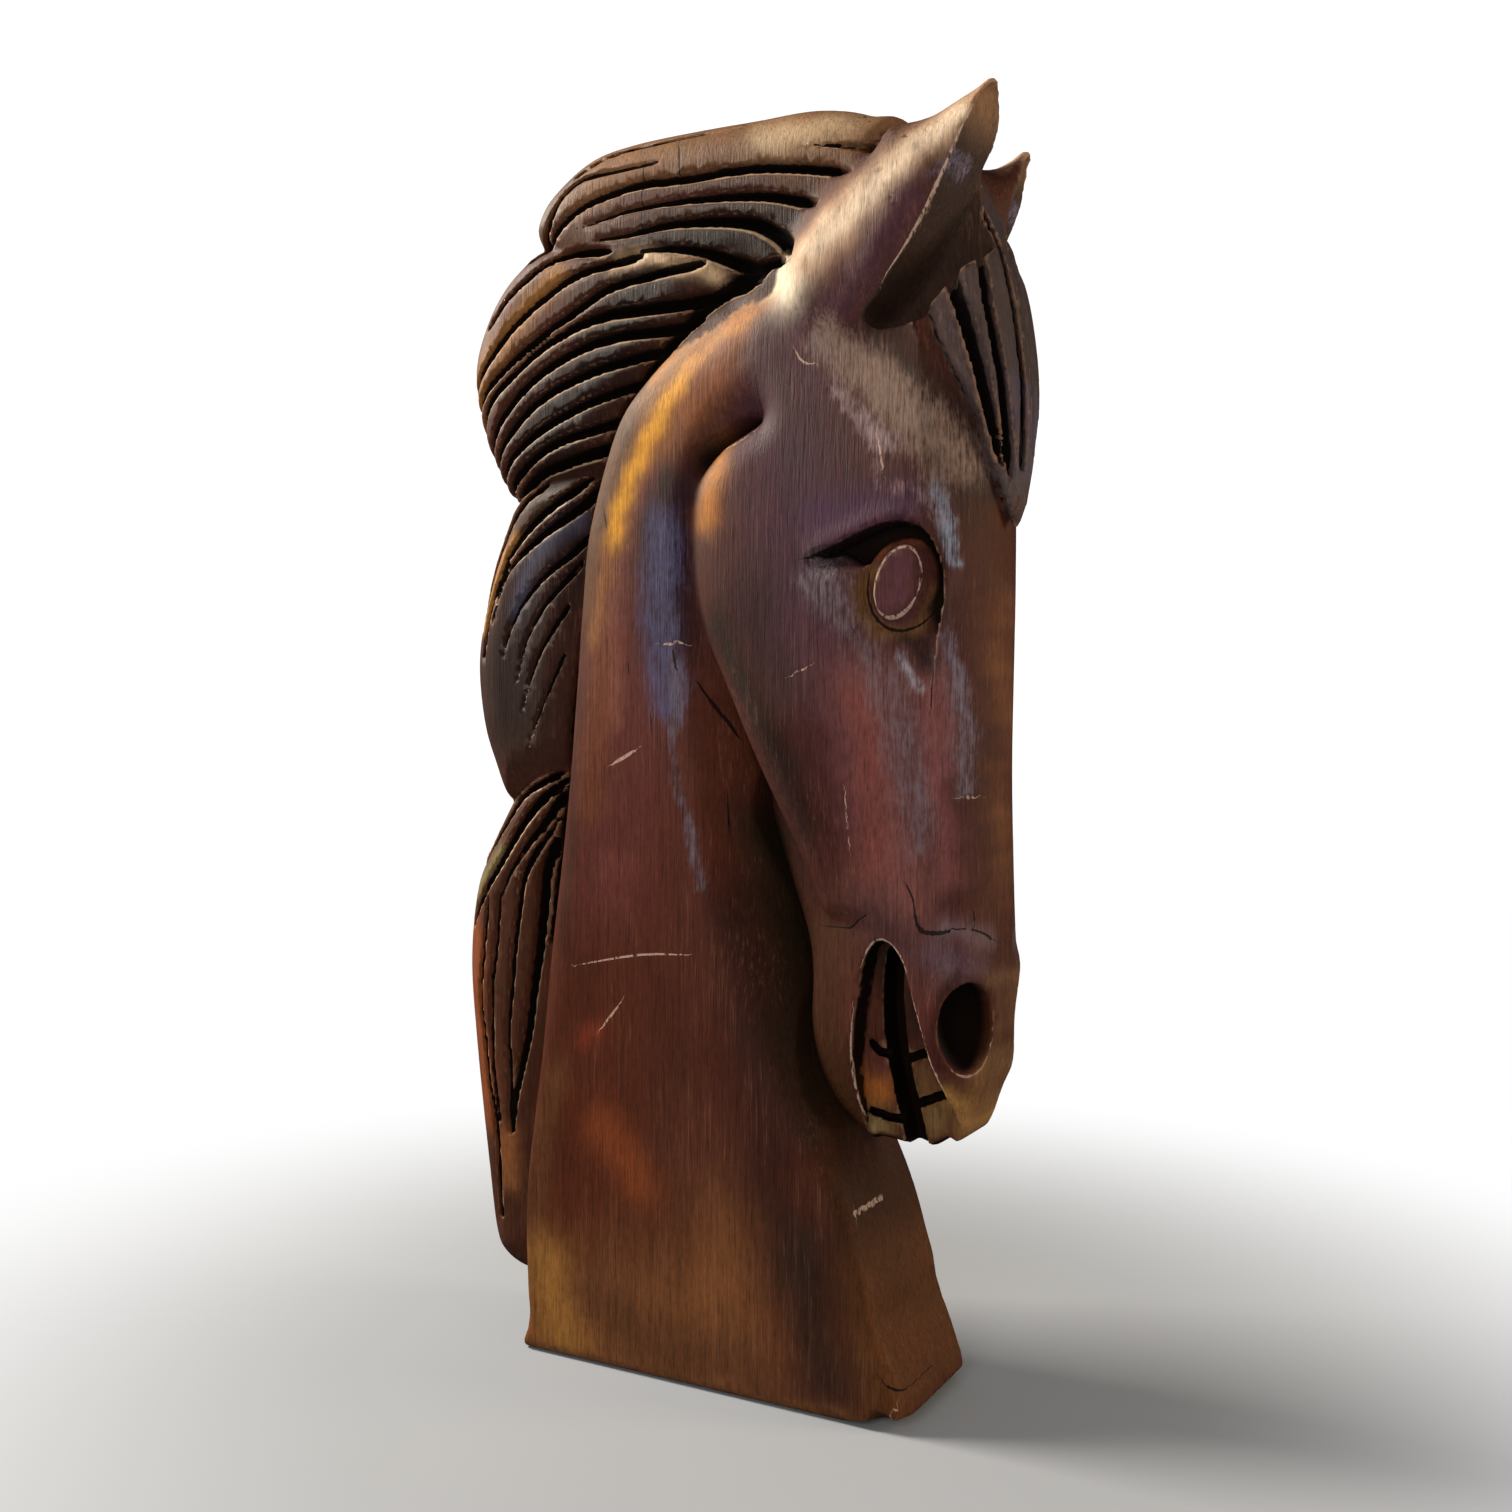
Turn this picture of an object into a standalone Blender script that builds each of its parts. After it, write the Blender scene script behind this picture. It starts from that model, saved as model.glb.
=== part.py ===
"""A horse's head and neck carved from one block of wood, standing on the flat-cut end of its neck.

The form is a field of distances, negative inside the wood. Each mass of the carving, such as the neck,
a lock of the mane or the cheek, is an outline seen from the side, a half thickness at every place of
that outline, and a rounding of its edge. The masses are joined, the carving is cut into them, and the
surface where the field is zero becomes the mesh.

Outlines are drawn in drawing units, seen from the horse's right side: x forward, z up, with the origin
at the centre of the base. One unit is a fixed share of the height. The horse faces +X, its left is +Y.
"""
import bpy
import numpy as np

# Driving sizes, in metres
HEIGHT = 0.785
BASE_LENGTH = 0.239
BASE_WIDTH = 0.102
CHEEK_WIDTH = 0.116
MUZZLE_WIDTH = 0.088
MANE_WIDTH = 0.086
EAR_SPREAD = 0.074
EAR_WIDTH = 0.0465
EAR_WALL = 0.0045
GROOVE_WIDTH = 0.0080
GROOVE_DEPTH = 0.0065
CREST_GROOVE_DEPTH = 0.0052
JAW_GAP = 0.007
EYE_LENGTH = 0.050
EYE_SOCKET_DEPTH = 0.012
NOSTRIL_DEPTH = 0.024
MOUTH_DEPTH = 0.020
BITE_DEPTH = 0.034
CHEEK_HOLLOW_DEPTH = 0.011
BASE_CHIP = 0.009

# How fine the surface is worked out, and how many triangles it keeps
GRID_STEP = 0.0025
TRIANGLES = 9400

# The drawing is this many units tall, and its neck this many long at the foot
DRAWN_HEIGHT = 1045.0
DRAWN_BASE_LENGTH = 318.0
UNIT = HEIGHT / DRAWN_HEIGHT

# Places and turns of single features, in drawing units and degrees
FOOT_TOP = 60.0
EYE_CENTRE = (178.0, 640.0)
NOSTRIL_CENTRE = (219.0, 50.0, 311.0)
NOSTRIL_TURN = 32.0
NOSTRIL_HALF = (18.0, 31.0)
EAR_WIDEST = 880.0
EAR_TOP = 1018.0
LEFT_EAR_LOWER = 20.0
LEFT_EAR_BACK = 7.0
TOOTH_GAPS = [[(136, 291), (157, 283)], [(136, 240), (167, 237)],
              [(172, 289), (186, 284)], [(178, 252), (199, 248)]]
TOOTH_GAP_HALF = 2.6

WOOD_COLOUR = (0.095, 0.030, 0.018, 1.0)
WOOD_ROUGHNESS = 0.42


def units(metres):
    """A size in metres as drawing units."""
    return metres / UNIT


def smooth_curve(points, closed=False, steps=6):
    """Points along a Catmull-Rom curve through the drawn points."""
    p = np.asarray(points, float)
    if closed:
        before, after, after2 = np.roll(p, 1, 0), np.roll(p, -1, 0), np.roll(p, -2, 0)
    else:
        before = np.vstack([2 * p[0] - p[1], p[:-2]])
        after = p[1:]
        after2 = np.vstack([p[2:], 2 * p[-1] - p[-2]])
        p = p[:-1]
    t = (np.arange(steps) / steps)[None, :, None]
    a, b, c, d = (q[:, None, :] for q in (before, p, after, after2))
    curve = 0.5 * (2 * b + (c - a) * t + (2 * a - 5 * b + 4 * c - d) * t**2 + (3 * b - a - 3 * c + d) * t**3)
    curve = curve.reshape(-1, p.shape[1])
    return curve if closed else np.vstack([curve, points[-1]])


def to_curve(curve, x, z):
    """Distance from each place to an open curve, the share of the way along it, and the side it is on."""
    best = np.full(x.shape, 1e9)
    along = np.zeros(x.shape)
    side = np.zeros(x.shape)
    last = len(curve) - 1
    for i, ((ax, az), (bx, bz)) in enumerate(zip(curve[:-1], curve[1:])):
        dx, dz = bx - ax, bz - az
        share = np.clip(((x - ax) * dx + (z - az) * dz) / (dx * dx + dz * dz + 1e-12), 0, 1)
        offx, offz = x - ax - share * dx, z - az - share * dz
        distance = np.hypot(offx, offz)
        nearer = distance < best
        best = np.where(nearer, distance, best)
        along = np.where(nearer, (i + share) / last, along)
        side = np.where(nearer, np.sign(dx * offz - dz * offx), side)
    return best, along, side


def inside_outline(outline, x, z):
    """Signed distance to a closed outline, negative inside."""
    curve = smooth_curve(outline, closed=True)
    ring = np.vstack([curve, curve[:1]])
    distance, _, _ = to_curve(ring, x, z)
    crossings = np.zeros(x.shape, int)
    for (ax, az), (bx, bz) in zip(ring[:-1], ring[1:]):
        if az != bz:
            between = (az > z) != (bz > z)
            crossings += between & (x < ax + (z - az) * (bx - ax) / (bz - az))
    return np.where(crossings % 2 == 1, -distance, distance)


def from_spots(spots, x, z):
    """A smooth map through values given at spots (x, z, value), kept between the least and the most."""
    spots = np.asarray(spots, float)
    here, value = spots[:, :2] / 100, spots[:, 2]

    def bend(squared):
        return 0.5 * squared * np.log(squared + 1e-9)

    gaps = ((here[:, None] - here[None]) ** 2).sum(-1)
    count = len(spots)
    plane = np.column_stack([np.ones(count), here])
    system = np.zeros((count + 3, count + 3))
    system[:count, :count] = bend(gaps)
    system[:count, count:] = plane
    system[count:, :count] = plane.T
    weight = np.linalg.solve(system, np.concatenate([value, np.zeros(3)]))
    out = weight[count] + weight[count + 1] * x / 100 + weight[count + 2] * z / 100
    for (sx, sz), w in zip(here, weight[:count]):
        out = out + w * bend((x / 100 - sx) ** 2 + (z / 100 - sz) ** 2)
    return np.clip(out, value.min(), value.max())


def ramp(value, start, end):
    """0 at start, 1 at end, smooth between."""
    t = np.clip((value - start) / (end - start), 0, 1)
    return t * t * (3 - 2 * t)


def join(a, b, blend):
    """The union of two fields, with a fillet about as wide as the blend."""
    h = np.maximum(blend - np.abs(a - b), 0) / blend
    return np.minimum(a, b) - h * h * blend * 0.25


def cut(a, b, blend):
    """Field a with the shape of field b taken out."""
    return -join(-a, b, blend)


def slab(outline_distance, half_width, round_in, round_out, y):
    """A mass cut to an outline, with elliptic edges: round_in along the side, round_out across it.

    With u = outline_distance / round_in + 1 and v = (|y| - half_width) / round_out + 1, both at least 0,
    the surface is where u² + v² = 1, and the field is divided by its slope there.
    """
    d, w, ri, ro = (np.broadcast_to(m, outline_distance.shape)[:, None, :]
                    for m in (outline_distance, half_width, round_in, round_out))
    u = np.maximum(d / ri + 1, 0)
    v = np.maximum((np.abs(y)[None, :, None] - w) / ro + 1, 0)
    h = np.hypot(u, v)
    slope = np.hypot(u / ri, v / ro)
    return np.where(h > 1e-6, (h - 1) * h / np.maximum(slope, 1e-9), -np.minimum(ri, ro))


# Outlines of the masses, in drawing units
NECK = [(-160, -30), (-174, 30), (-177, 130), (-165, 250), (-157, 354), (-142, 474), (-133, 570),
        (-127, 640), (-117, 705), (-84, 778), (-52, 820), (-16, 852), (32, 884), (110, 905), (150, 870),
        (115, 805), (60, 785), (26, 750), (18, 690), (32, 600), (46, 507), (62, 400), (85, 300),
        (107, 225), (130, 165), (144, 118), (153, 80), (161, -30)]
CREST_POINTS = 13
MANE = [
    [(168, 1000), (132, 1021), (88, 1034), (33, 1041), (-25, 1045), (-85, 1045), (-127, 1036), (-162, 1016),
     (-184, 993), (-190, 966), (-160, 935), (-60, 880), (60, 830), (150, 850)],
    [(-100, 955), (-172, 963), (-209, 947), (-237, 919), (-256, 881), (-261, 850), (-256, 817), (-243, 780),
     (-216, 736), (-180, 732), (-120, 745), (-40, 740), (30, 790), (60, 880)],
    [(-150, 765), (-202, 752), (-229, 706), (-245, 662), (-257, 600), (-252, 544), (-239, 505), (-218, 468),
     (-180, 480), (-120, 500), (-80, 560), (-70, 700), (-90, 760)],
    [(-150, 515), (-198, 498), (-239, 438), (-258, 395), (-266, 330), (-260, 253), (-246, 146), (-236, 84),
     (-222, 62), (-196, 52), (-168, 60), (-130, 120), (-110, 300), (-100, 480)],
]
HEAD = [(25, 554), (0, 609), (-13, 667), (-11, 725), (14, 757), (42, 776), (44, 796), (24, 815), (42, 868),
        (95, 905), (150, 935), (200, 900), (224, 830), (233, 740), (234, 640), (233, 500), (234, 400),
        (233, 330), (230, 290), (221, 255), (210, 226), (200, 226), (188, 220), (176, 240), (160, 330),
        (135, 379), (106, 388), (80, 440), (53, 494)]
JAW = [(48, 500), (46, 468), (62, 420), (82, 372), (88, 340), (87, 301), (92, 268), (104, 242), (122, 226),
       (142, 214), (160, 217), (176, 211), (192, 220), (195, 300), (150, 420), (100, 520), (56, 545)]
JAW_BACK = JAW[:9]
FORELOCK = [(150, 990), (185, 992), (214, 955), (236, 893), (247, 838), (253, 790), (253, 745), (249, 704),
            (242, 686), (237, 705), (228, 745), (209, 777), (188, 817), (168, 862), (140, 905)]
FORELOCK_HALF = [(684, 8), (708, 28), (745, 46), (777, 55), (817, 61), (865, 65), (950, 62)]
EAR = [(78, 870), (84, 904), (105, 928), (132, 947), (162, 963), (190, 978), (213, 990), (230, 1003),
       (241, 1017), (248, 994), (246, 964), (237, 936), (220, 908), (198, 886), (174, 862), (150, 842),
       (120, 828), (90, 845)]
EAR_HOLLOW = [(240, 1006), (224, 970), (200, 938), (172, 904), (148, 872), (142, 852), (160, 838),
              (190, 856), (230, 900), (258, 945), (256, 995)]
MOUTH = [(153, 372), (163, 368), (173, 352), (180, 328), (186, 302), (193, 276), (202, 256), (214, 236),
         (216, 195), (150, 190), (140, 220), (132, 250), (130, 290), (133, 322), (140, 354)]
BITE = [(153, 350), (155, 321), (160, 293), (164, 270), (168, 248), (173, 226), (178, 200)]
EYE_CREASE = [(96, 660), (117, 667), (140, 676), (162, 683), (184, 684), (200, 675), (207, 655), (209, 630),
              (207, 600), (203, 572), (200, 545)]

# Guide curves of the gouge cuts in each lock of the mane, topmost first, and how many cuts they spread to
MANE_CUTS = [
    ([[(150, 998), (82, 1013), (-24, 1020), (-90, 1016), (-150, 990), (-185, 960)],
      [(129, 963), (28, 982), (-24, 984), (-86, 985), (-139, 972), (-175, 948)],
      [(99, 945), (28, 960), (-24, 963), (-86, 965), (-130, 960), (-160, 950)],
      [(74, 916), (36, 940), (-2, 946), (-61, 950), (-103, 947), (-130, 940)],
      [(51, 893), (20, 908), (3, 916), (-20, 925), (-43, 931), (-90, 940)]], 5),
    ([[(-80, 935), (-120, 938), (-147, 939), (-178, 925), (-213, 905), (-240, 878)],
      [(48, 890), (-12, 893), (-61, 893), (-123, 880), (-178, 855), (-238, 815)],
      [(-45, 845), (-100, 829), (-147, 810), (-187, 790), (-212, 762), (-232, 735)],
      [(-88, 790), (-110, 781), (-130, 773), (-160, 762), (-195, 737), (-212, 725)]], 10),
    ([[(-170, 735), (-193, 725), (-215, 686), (-227, 649), (-240, 590)],
      [(-105, 725), (-156, 695), (-193, 661), (-209, 620), (-228, 550)],
      [(-125, 680), (-164, 632), (-181, 601), (-193, 570), (-212, 510)],
      [(-135, 630), (-153, 590), (-163, 559), (-178, 525), (-195, 490)]], 7),
    ([[(-141, 505), (-178, 462), (-212, 415), (-243, 355), (-252, 280)],
      [(-145, 465), (-182, 420), (-214, 340), (-224, 240), (-220, 110)],
      [(-155, 425), (-170, 342), (-180, 273), (-195, 190), (-208, 90)]], 5),
]
FORELOCK_CUTS = [[(176, 900), (198, 863), (214, 807), (234, 753), (241, 716)],
                 [(200, 930), (210, 885), (231, 814), (247, 746), (247, 700)],
                 [(212, 950), (225, 915), (241, 856), (253, 779), (251, 704)]]


def neck(x, y, z):
    """The neck: flat sides, square at the base, with a rounded crest behind and a rounded throat."""
    half = units(BASE_WIDTH) / 2
    stretch = units(BASE_LENGTH) / DRAWN_BASE_LENGTH
    foot = [(px * (1 + (stretch - 1) * (pz < FOOT_TOP)), pz) for px, pz in NECK]
    to_front = ramp(x, -90, 20)
    rising = ramp(z, 120, 420)
    round_in = 4 + (30 * (1 - to_front) + 60 * to_front) * rising
    round_out = 4 + (18 * (1 - to_front) + 58 * to_front) * rising
    return slab(inside_outline(foot, x, z), half, round_in, round_out, y)


def spread(guides, count):
    """Evenly spaced curves between guide curves: each is a mix of the two guides beside it."""
    guides = [smooth_curve(guide) for guide in guides]
    for i in range(count):
        place = i / (count - 1) * (len(guides) - 1)
        first = min(int(place), len(guides) - 2)
        yield guides[first] * (first + 1 - place) + guides[first + 1] * (place - first)


def gouged(curves, x, z):
    """How deep gouge cuts along the curves go: a narrow vee with softly rounded shoulders."""
    depth = np.zeros(x.shape)
    for curve in curves:
        distance, along, _ = to_curve(curve, x, z)
        taper = ramp(along, 0.0, 0.10) * (1 - 0.75 * ramp(along, 0.55, 1.0))
        vee = np.maximum(1 - distance / (units(GROOVE_WIDTH) / 2 * (0.6 + 0.4 * taper)), 0)
        shoulder = np.maximum(1 - distance / units(GROOVE_WIDTH) / 1.2, 0) ** 2
        depth = np.maximum(depth, units(GROOVE_DEPTH) * taper * (0.7 * vee + 0.3 * shoulder))
    return depth


def mane(x, y, z):
    """Four locks one below the other, each a swelling mass with its gouge cuts."""
    half = units(MANE_WIDTH) / 2
    field = None
    for outline, (guides, count) in zip(MANE, MANE_CUTS):
        lock = slab(inside_outline(outline, x, z), half, 42.0, 44.0, y)
        lock = lock + gouged(spread(guides, count), x, z)[:, None, :]
        field = lock if field is None else join(field, lock, 3.0)
    return field


def head(x, y, z):
    """The face: broad at the cheek, narrower down the nose, rounded to the front."""
    cheek = units(CHEEK_WIDTH) / 2
    muzzle = units(MUZZLE_WIDTH) / 2
    half = from_spots([(60, 650, cheek), (100, 560, cheek), (60, 790, cheek * 0.93), (175, 720, cheek * 0.95),
                       (0, 830, cheek * 0.84), (20, 870, cheek * 0.80), (90, 870, cheek * 0.86),
                       (150, 810, cheek * 0.88), (200, 620, cheek * 0.88), (170, 480, cheek * 0.84),
                       (110, 440, cheek * 0.86), (205, 500, cheek * 0.76), (200, 390, muzzle * 0.95),
                       (215, 310, muzzle), (160, 330, muzzle), (215, 240, muzzle * 0.72)], x, z)
    round_in = from_spots([(230, 700, 40), (232, 500, 34), (232, 380, 28), (232, 310, 22), (215, 235, 16),
                           (-13, 690, 40), (20, 570, 34), (70, 450, 20), (100, 390, 14), (10, 830, 20),
                           (60, 880, 30), (150, 930, 50), (150, 330, 10)], x, z)
    round_out = from_spots([(230, 700, 58), (232, 500, 50), (232, 380, 44), (232, 310, 38), (215, 235, 20),
                            (-13, 690, 24), (20, 570, 26), (70, 450, 22), (100, 390, 14), (10, 830, 14),
                            (60, 880, 30), (150, 930, 50), (150, 330, 10)], x, z)
    return slab(inside_outline(HEAD, x, z), half, round_in, round_out, y)


def jaw(x, y, z):
    """The lower jaw and lip, set back from the cheek."""
    muzzle = units(MUZZLE_WIDTH) / 2
    half = from_spots([(60, 500, muzzle * 0.75), (70, 430, muzzle * 0.76), (100, 385, muzzle * 0.88),
                       (120, 330, muzzle * 0.98), (120, 280, muzzle * 0.93), (140, 222, muzzle * 0.66)], x, z)
    return slab(inside_outline(JAW, x, z), half, 16.0, 20.0, y)


def forelock(x, y, z):
    """A tongue of hair from between the ears down the forehead to a point, gouged into strands."""
    half = np.interp(z, *zip(*FORELOCK_HALF))
    field = slab(inside_outline(FORELOCK, x, z), half, 26.0, np.minimum(half, 50.0), y)
    sides = gouged(spread(FORELOCK_CUTS, 4), x, z)
    across = np.abs(y)[None, :, None]
    front = np.maximum(1 - np.abs(across - 0.30 * half[:, None, :]) / (units(GROOVE_WIDTH) / 2), 0)
    front = front * (units(GROOVE_DEPTH) * ramp(z, 690, 740) * ramp(x, 215, 240))[:, None, :]
    return field + np.maximum(sides[:, None, :], front)


def ear(x, y, z, side):
    """One pointed ear, a leaf seen from the side, and the hollow that is scooped out of its front."""
    centre = side * units(EAR_SPREAD) / 2
    up = z + (LEFT_EAR_LOWER if side > 0 else 0.0)
    x = x + (LEFT_EAR_BACK if side > 0 else 0.0)
    rounding = np.maximum(up - EAR_WIDEST, 0) / (EAR_TOP - EAR_WIDEST)
    widest = units(EAR_WIDTH) / 2
    half = 4 + (widest - 4) * np.sqrt(np.clip(1 - rounding**2, 0, 1)) - 11 * (1 - ramp(up, 830, EAR_WIDEST))
    body = slab(inside_outline(EAR, x, up), half, 22.0, half, y - centre)
    inner = np.maximum(half - units(EAR_WALL), 1.0)
    scoop = slab(inside_outline(EAR_HOLLOW, x, up), inner, 26.0, inner, y - centre)
    return body, scoop


def eye(x, z):
    """How deep the socket is cut round the eye, with the flat-topped eyeball left standing in it."""
    distance, along, side = to_curve(smooth_curve(EYE_CREASE), x, z)
    inner = side < 0
    strength = ramp(along, 0.0, 0.34) * (1 - ramp(along, 0.70, 1.0))
    depth = units(EYE_SOCKET_DEPTH)
    socket = np.where(inner, depth * strength * np.exp(-(distance / 34.0) ** 1.5), 0)
    brow = np.where(inner, 0, -4.0 * strength * np.exp(-((distance - 8.0) / 14.0) ** 2))
    size = units(EYE_LENGTH) / 2
    across, up = (x - EYE_CENTRE[0]), (z - EYE_CENTRE[1])
    oval = np.hypot(across / (size * 0.88), up / (size * 1.05))
    moat = depth * 0.62 * np.maximum(1 - np.abs(oval - 1.12) / 0.30, 0)
    ball = 2.0 + depth * 0.55 * np.clip((oval - 0.62) / 0.38, 0, 1) ** 1.5
    cutting = np.maximum(socket, np.where(inner, moat, 0))
    return np.where(oval < 1.0, ball, cutting) + brow


def cheek_hollow(x, z):
    """The scoop that ends the valley behind the cheek."""
    distance, along, _ = to_curve(np.array([(12.0, 748.0), (46.0, 772.0)]), x, z)
    return units(CHEEK_HOLLOW_DEPTH) * np.maximum(1 - (distance / (16.0 - 5.0 * along)) ** 2, 0)


def nostril(x, y, z):
    """A deep oval hole on each side of the nose, slanted forward, and the raised ring round it."""
    turn = np.radians(NOSTRIL_TURN)
    outward = np.abs(y)[None, :, None] - NOSTRIL_CENTRE[1]
    forward = (x - NOSTRIL_CENTRE[0])[:, None, :]
    deep = forward * np.sin(turn) + outward * np.cos(turn)
    across = forward * np.cos(turn) - outward * np.sin(turn)
    up = (z - NOSTRIL_CENTRE[2])[:, None, :]
    oval = np.hypot(across / NOSTRIL_HALF[0], up / NOSTRIL_HALF[1])
    hole = (np.hypot(oval, deep / units(NOSTRIL_DEPTH)) - 1) * NOSTRIL_HALF[0]
    ring = 3.0 * np.exp(-((oval - 1.25) / 0.28) ** 2) * (np.abs(deep) < 40)
    return hole, ring


def mouth(x, y, z):
    """The open lips, with the teeth set back between them and the dark slit of the bite."""
    outward = np.abs(y)[None, :, None]
    cheek_face = units(MUZZLE_WIDTH) / 2
    teeth_face = cheek_face - units(MOUTH_DEPTH)
    lips = np.maximum(inside_outline(MOUTH, x, z)[:, None, :], teeth_face - outward)
    distance, along, _ = to_curve(smooth_curve(BITE), x, z)
    width = 4.5 + 3.5 * ramp(along, 0, 0.3)
    slit = np.maximum((distance - width)[:, None, :], cheek_face - units(BITE_DEPTH) - outward)
    gaps = np.minimum.reduce([to_curve(np.array(gap, float), x, z)[0] for gap in TOOTH_GAPS])
    gaps = np.maximum((gaps - TOOTH_GAP_HALF)[:, None, :], teeth_face - 10 - outward)
    return np.minimum(np.minimum(lips, slit), gaps)


def mane_edge(x, z):
    """The dark gouged line where the mane meets the crest of the neck, in a shallow dip."""
    distance, along, _ = to_curve(smooth_curve(NECK[1:CREST_POINTS]), x, z)
    depth = units(CREST_GROOVE_DEPTH) * ramp(along, 0.02, 0.2)
    vee = np.maximum(1 - distance / units(CREST_GROOVE_DEPTH), 0)
    dip = np.maximum(1 - distance / 34.0, 0) ** 2
    return depth * (vee + dip)


def jaw_gap(x, z):
    """The saw cut between the jaw and the throat: everything nearer to the jaw's back than the gap."""
    distance, _, _ = to_curve(smooth_curve(JAW_BACK), x, z)
    return distance - units(JAW_GAP)


def base_chip(x, y, z):
    """The corner broken off the foot, in front on the right."""
    corner = (units(BASE_LENGTH) / 2, -units(BASE_WIDTH) / 2)
    flat = (x - corner[0])[:, None, :] ** 2 + (y - corner[1])[None, :, None] ** 2
    return np.sqrt(flat + (0.8 * z[:, None, :]) ** 2) - units(BASE_CHIP)


def carved_head(x, y, z):
    """The whole field on the grid: x and z are maps seen from the side, y the places across."""
    field = join(neck(x, y, z), mane(x, y, z) + mane_edge(x, z)[:, None, :], 4.0)
    field = cut(field, jaw_gap(x, z)[:, None, :], 2.0)
    field = cut(field, base_chip(x, y, z), 1.0)
    field = field + cheek_hollow(x, z)[:, None, :]
    face = join(head(x, y, z), jaw(x, y, z), 4.0)
    face = face + eye(x, z)[:, None, :]
    hole, ring = nostril(x, y, z)
    field = join(field, face - ring, 5.0)
    field = join(field, forelock(x, y, z), 4.0)
    for side in (-1, 1):
        body, scoop = ear(x, y, z, side)
        field = cut(join(field, body, 24.0), scoop, 3.0)
    field = cut(field, hole, 2.0)
    field = cut(field, mouth(x, y, z), 2.0)
    return field


def shifted(whole, step):
    """The part of a grid that starts a step further on, as large as a grid of whole cells."""
    return whole[tuple(slice(i, n - 1 + i) for i, n in zip(step, whole.shape))]


def without_pinches(field):
    """Fills grid corners until no two solid corners meet only across a face or a cell.

    Where they would, the surface would touch itself along an edge or at a point.
    """
    corners = [(i, j, k) for i in (0, 1) for j in (0, 1) for k in (0, 1)]
    pairs = [(c, d) for c in corners for d in corners if c < d and sum(p != q for p, q in zip(c, d)) > 1]
    for _ in range(40):
        solid = field < 0
        fill = np.zeros(field.shape, bool)
        for first, second in pairs:
            box = [c for c in corners if all(q in (a, b) for q, a, b in zip(c, first, second))]
            others = [c for c in box if c not in (first, second)]
            both = shifted(solid, first) & shifted(solid, second)
            apart = both & ~np.logical_or.reduce([shifted(solid, c) for c in others])
            joined = ~shifted(solid, first) & ~shifted(solid, second)
            joined &= np.logical_and.reduce([shifted(solid, c) for c in others])
            for c in others:
                view = shifted(fill, c)
                view |= apart
            if len(others) > 2:
                view = shifted(fill, first)
                view |= joined
        if not fill.any():
            return field
        field = np.where(fill & ~solid, -0.3 * field - 0.02, field)
    return field


def surface(field, xs, ys, zs):
    """Quads on the zero surface of a field: one point in every cell that it passes through.

    Each point is the mean of the places where the cell's edges cross zero.
    """
    solid = field < 0
    cells = tuple(n - 1 for n in field.shape)
    corner = {}
    for i in (0, 1):
        for j in (0, 1):
            for k in (0, 1):
                corner[i, j, k] = solid[i:i + cells[0], j:j + cells[1], k:k + cells[2]]
    inside = sum(c.astype(np.int8) for c in corner.values())
    active = (inside > 0) & (inside < 8)
    number = np.full(cells, -1)
    number[active] = np.arange(active.sum())
    at = np.argwhere(active)
    total = np.zeros((len(at), 3))
    count = np.zeros(len(at))
    for axis in range(3):
        for p in (0, 1):
            for q in (0, 1):
                first = np.zeros(3, int)
                first[(axis + 1) % 3], first[(axis + 2) % 3] = p, q
                second = first.copy()
                second[axis] = 1
                a = field[tuple((at + first).T)]
                b = field[tuple((at + second).T)]
                crosses = (a < 0) != (b < 0)
                t = np.where(crosses, a / np.where(crosses, a - b, 1), 0)
                point = at + first + 0.0
                point[:, axis] += t
                total += point * crosses[:, None]
                count += crosses
    place = total / count[:, None]
    axes = (xs, ys, zs)
    points = np.column_stack([np.interp(place[:, i], np.arange(len(axes[i])), axes[i]) for i in range(3)])
    quads = []
    for axis in range(3):
        u, v = (axis + 1) % 3, (axis + 2) % 3
        low = [slice(None)] * 3
        high = [slice(None)] * 3
        low[axis], high[axis] = slice(0, -1), slice(1, None)
        for other in (u, v):
            low[other] = high[other] = slice(1, -1)
        a, b = solid[tuple(low)], solid[tuple(high)]
        edge = np.argwhere(a != b)
        leaving = a[tuple(edge.T)]
        edge[:, u] += 1
        edge[:, v] += 1
        ring = []
        for du, dv in ((0, 0), (1, 0), (1, 1), (0, 1)):
            cell = edge.copy()
            cell[:, u] -= 1 - du
            cell[:, v] -= 1 - dv
            ring.append(number[tuple(cell.T)])
        ring = np.column_stack(ring)
        ring[~leaving] = ring[~leaving][:, ::-1]
        quads.append(ring)
    return points, np.vstack(quads)


def wood():
    """Dark red-brown stained wood with a soft gloss."""
    material = bpy.data.materials.new("stained_wood")
    material.use_nodes = True
    shader = material.node_tree.nodes["Principled BSDF"]
    shader.inputs["Base Color"].default_value = WOOD_COLOUR
    shader.inputs["Roughness"].default_value = WOOD_ROUGHNESS
    shader.inputs["Metallic"].default_value = 0.0
    return material


def below_the_floor():
    """A block whose top is the floor: it trims the end of the neck flat."""
    bpy.ops.mesh.primitive_cube_add(size=1.0, location=(0.0, 0.0, -HEIGHT / 2))
    block = bpy.context.object
    block.name = "below_the_floor"
    block.scale = (HEIGHT, HEIGHT, HEIGHT)
    block.hide_render = True
    block.display_type = "WIRE"
    return block


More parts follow.
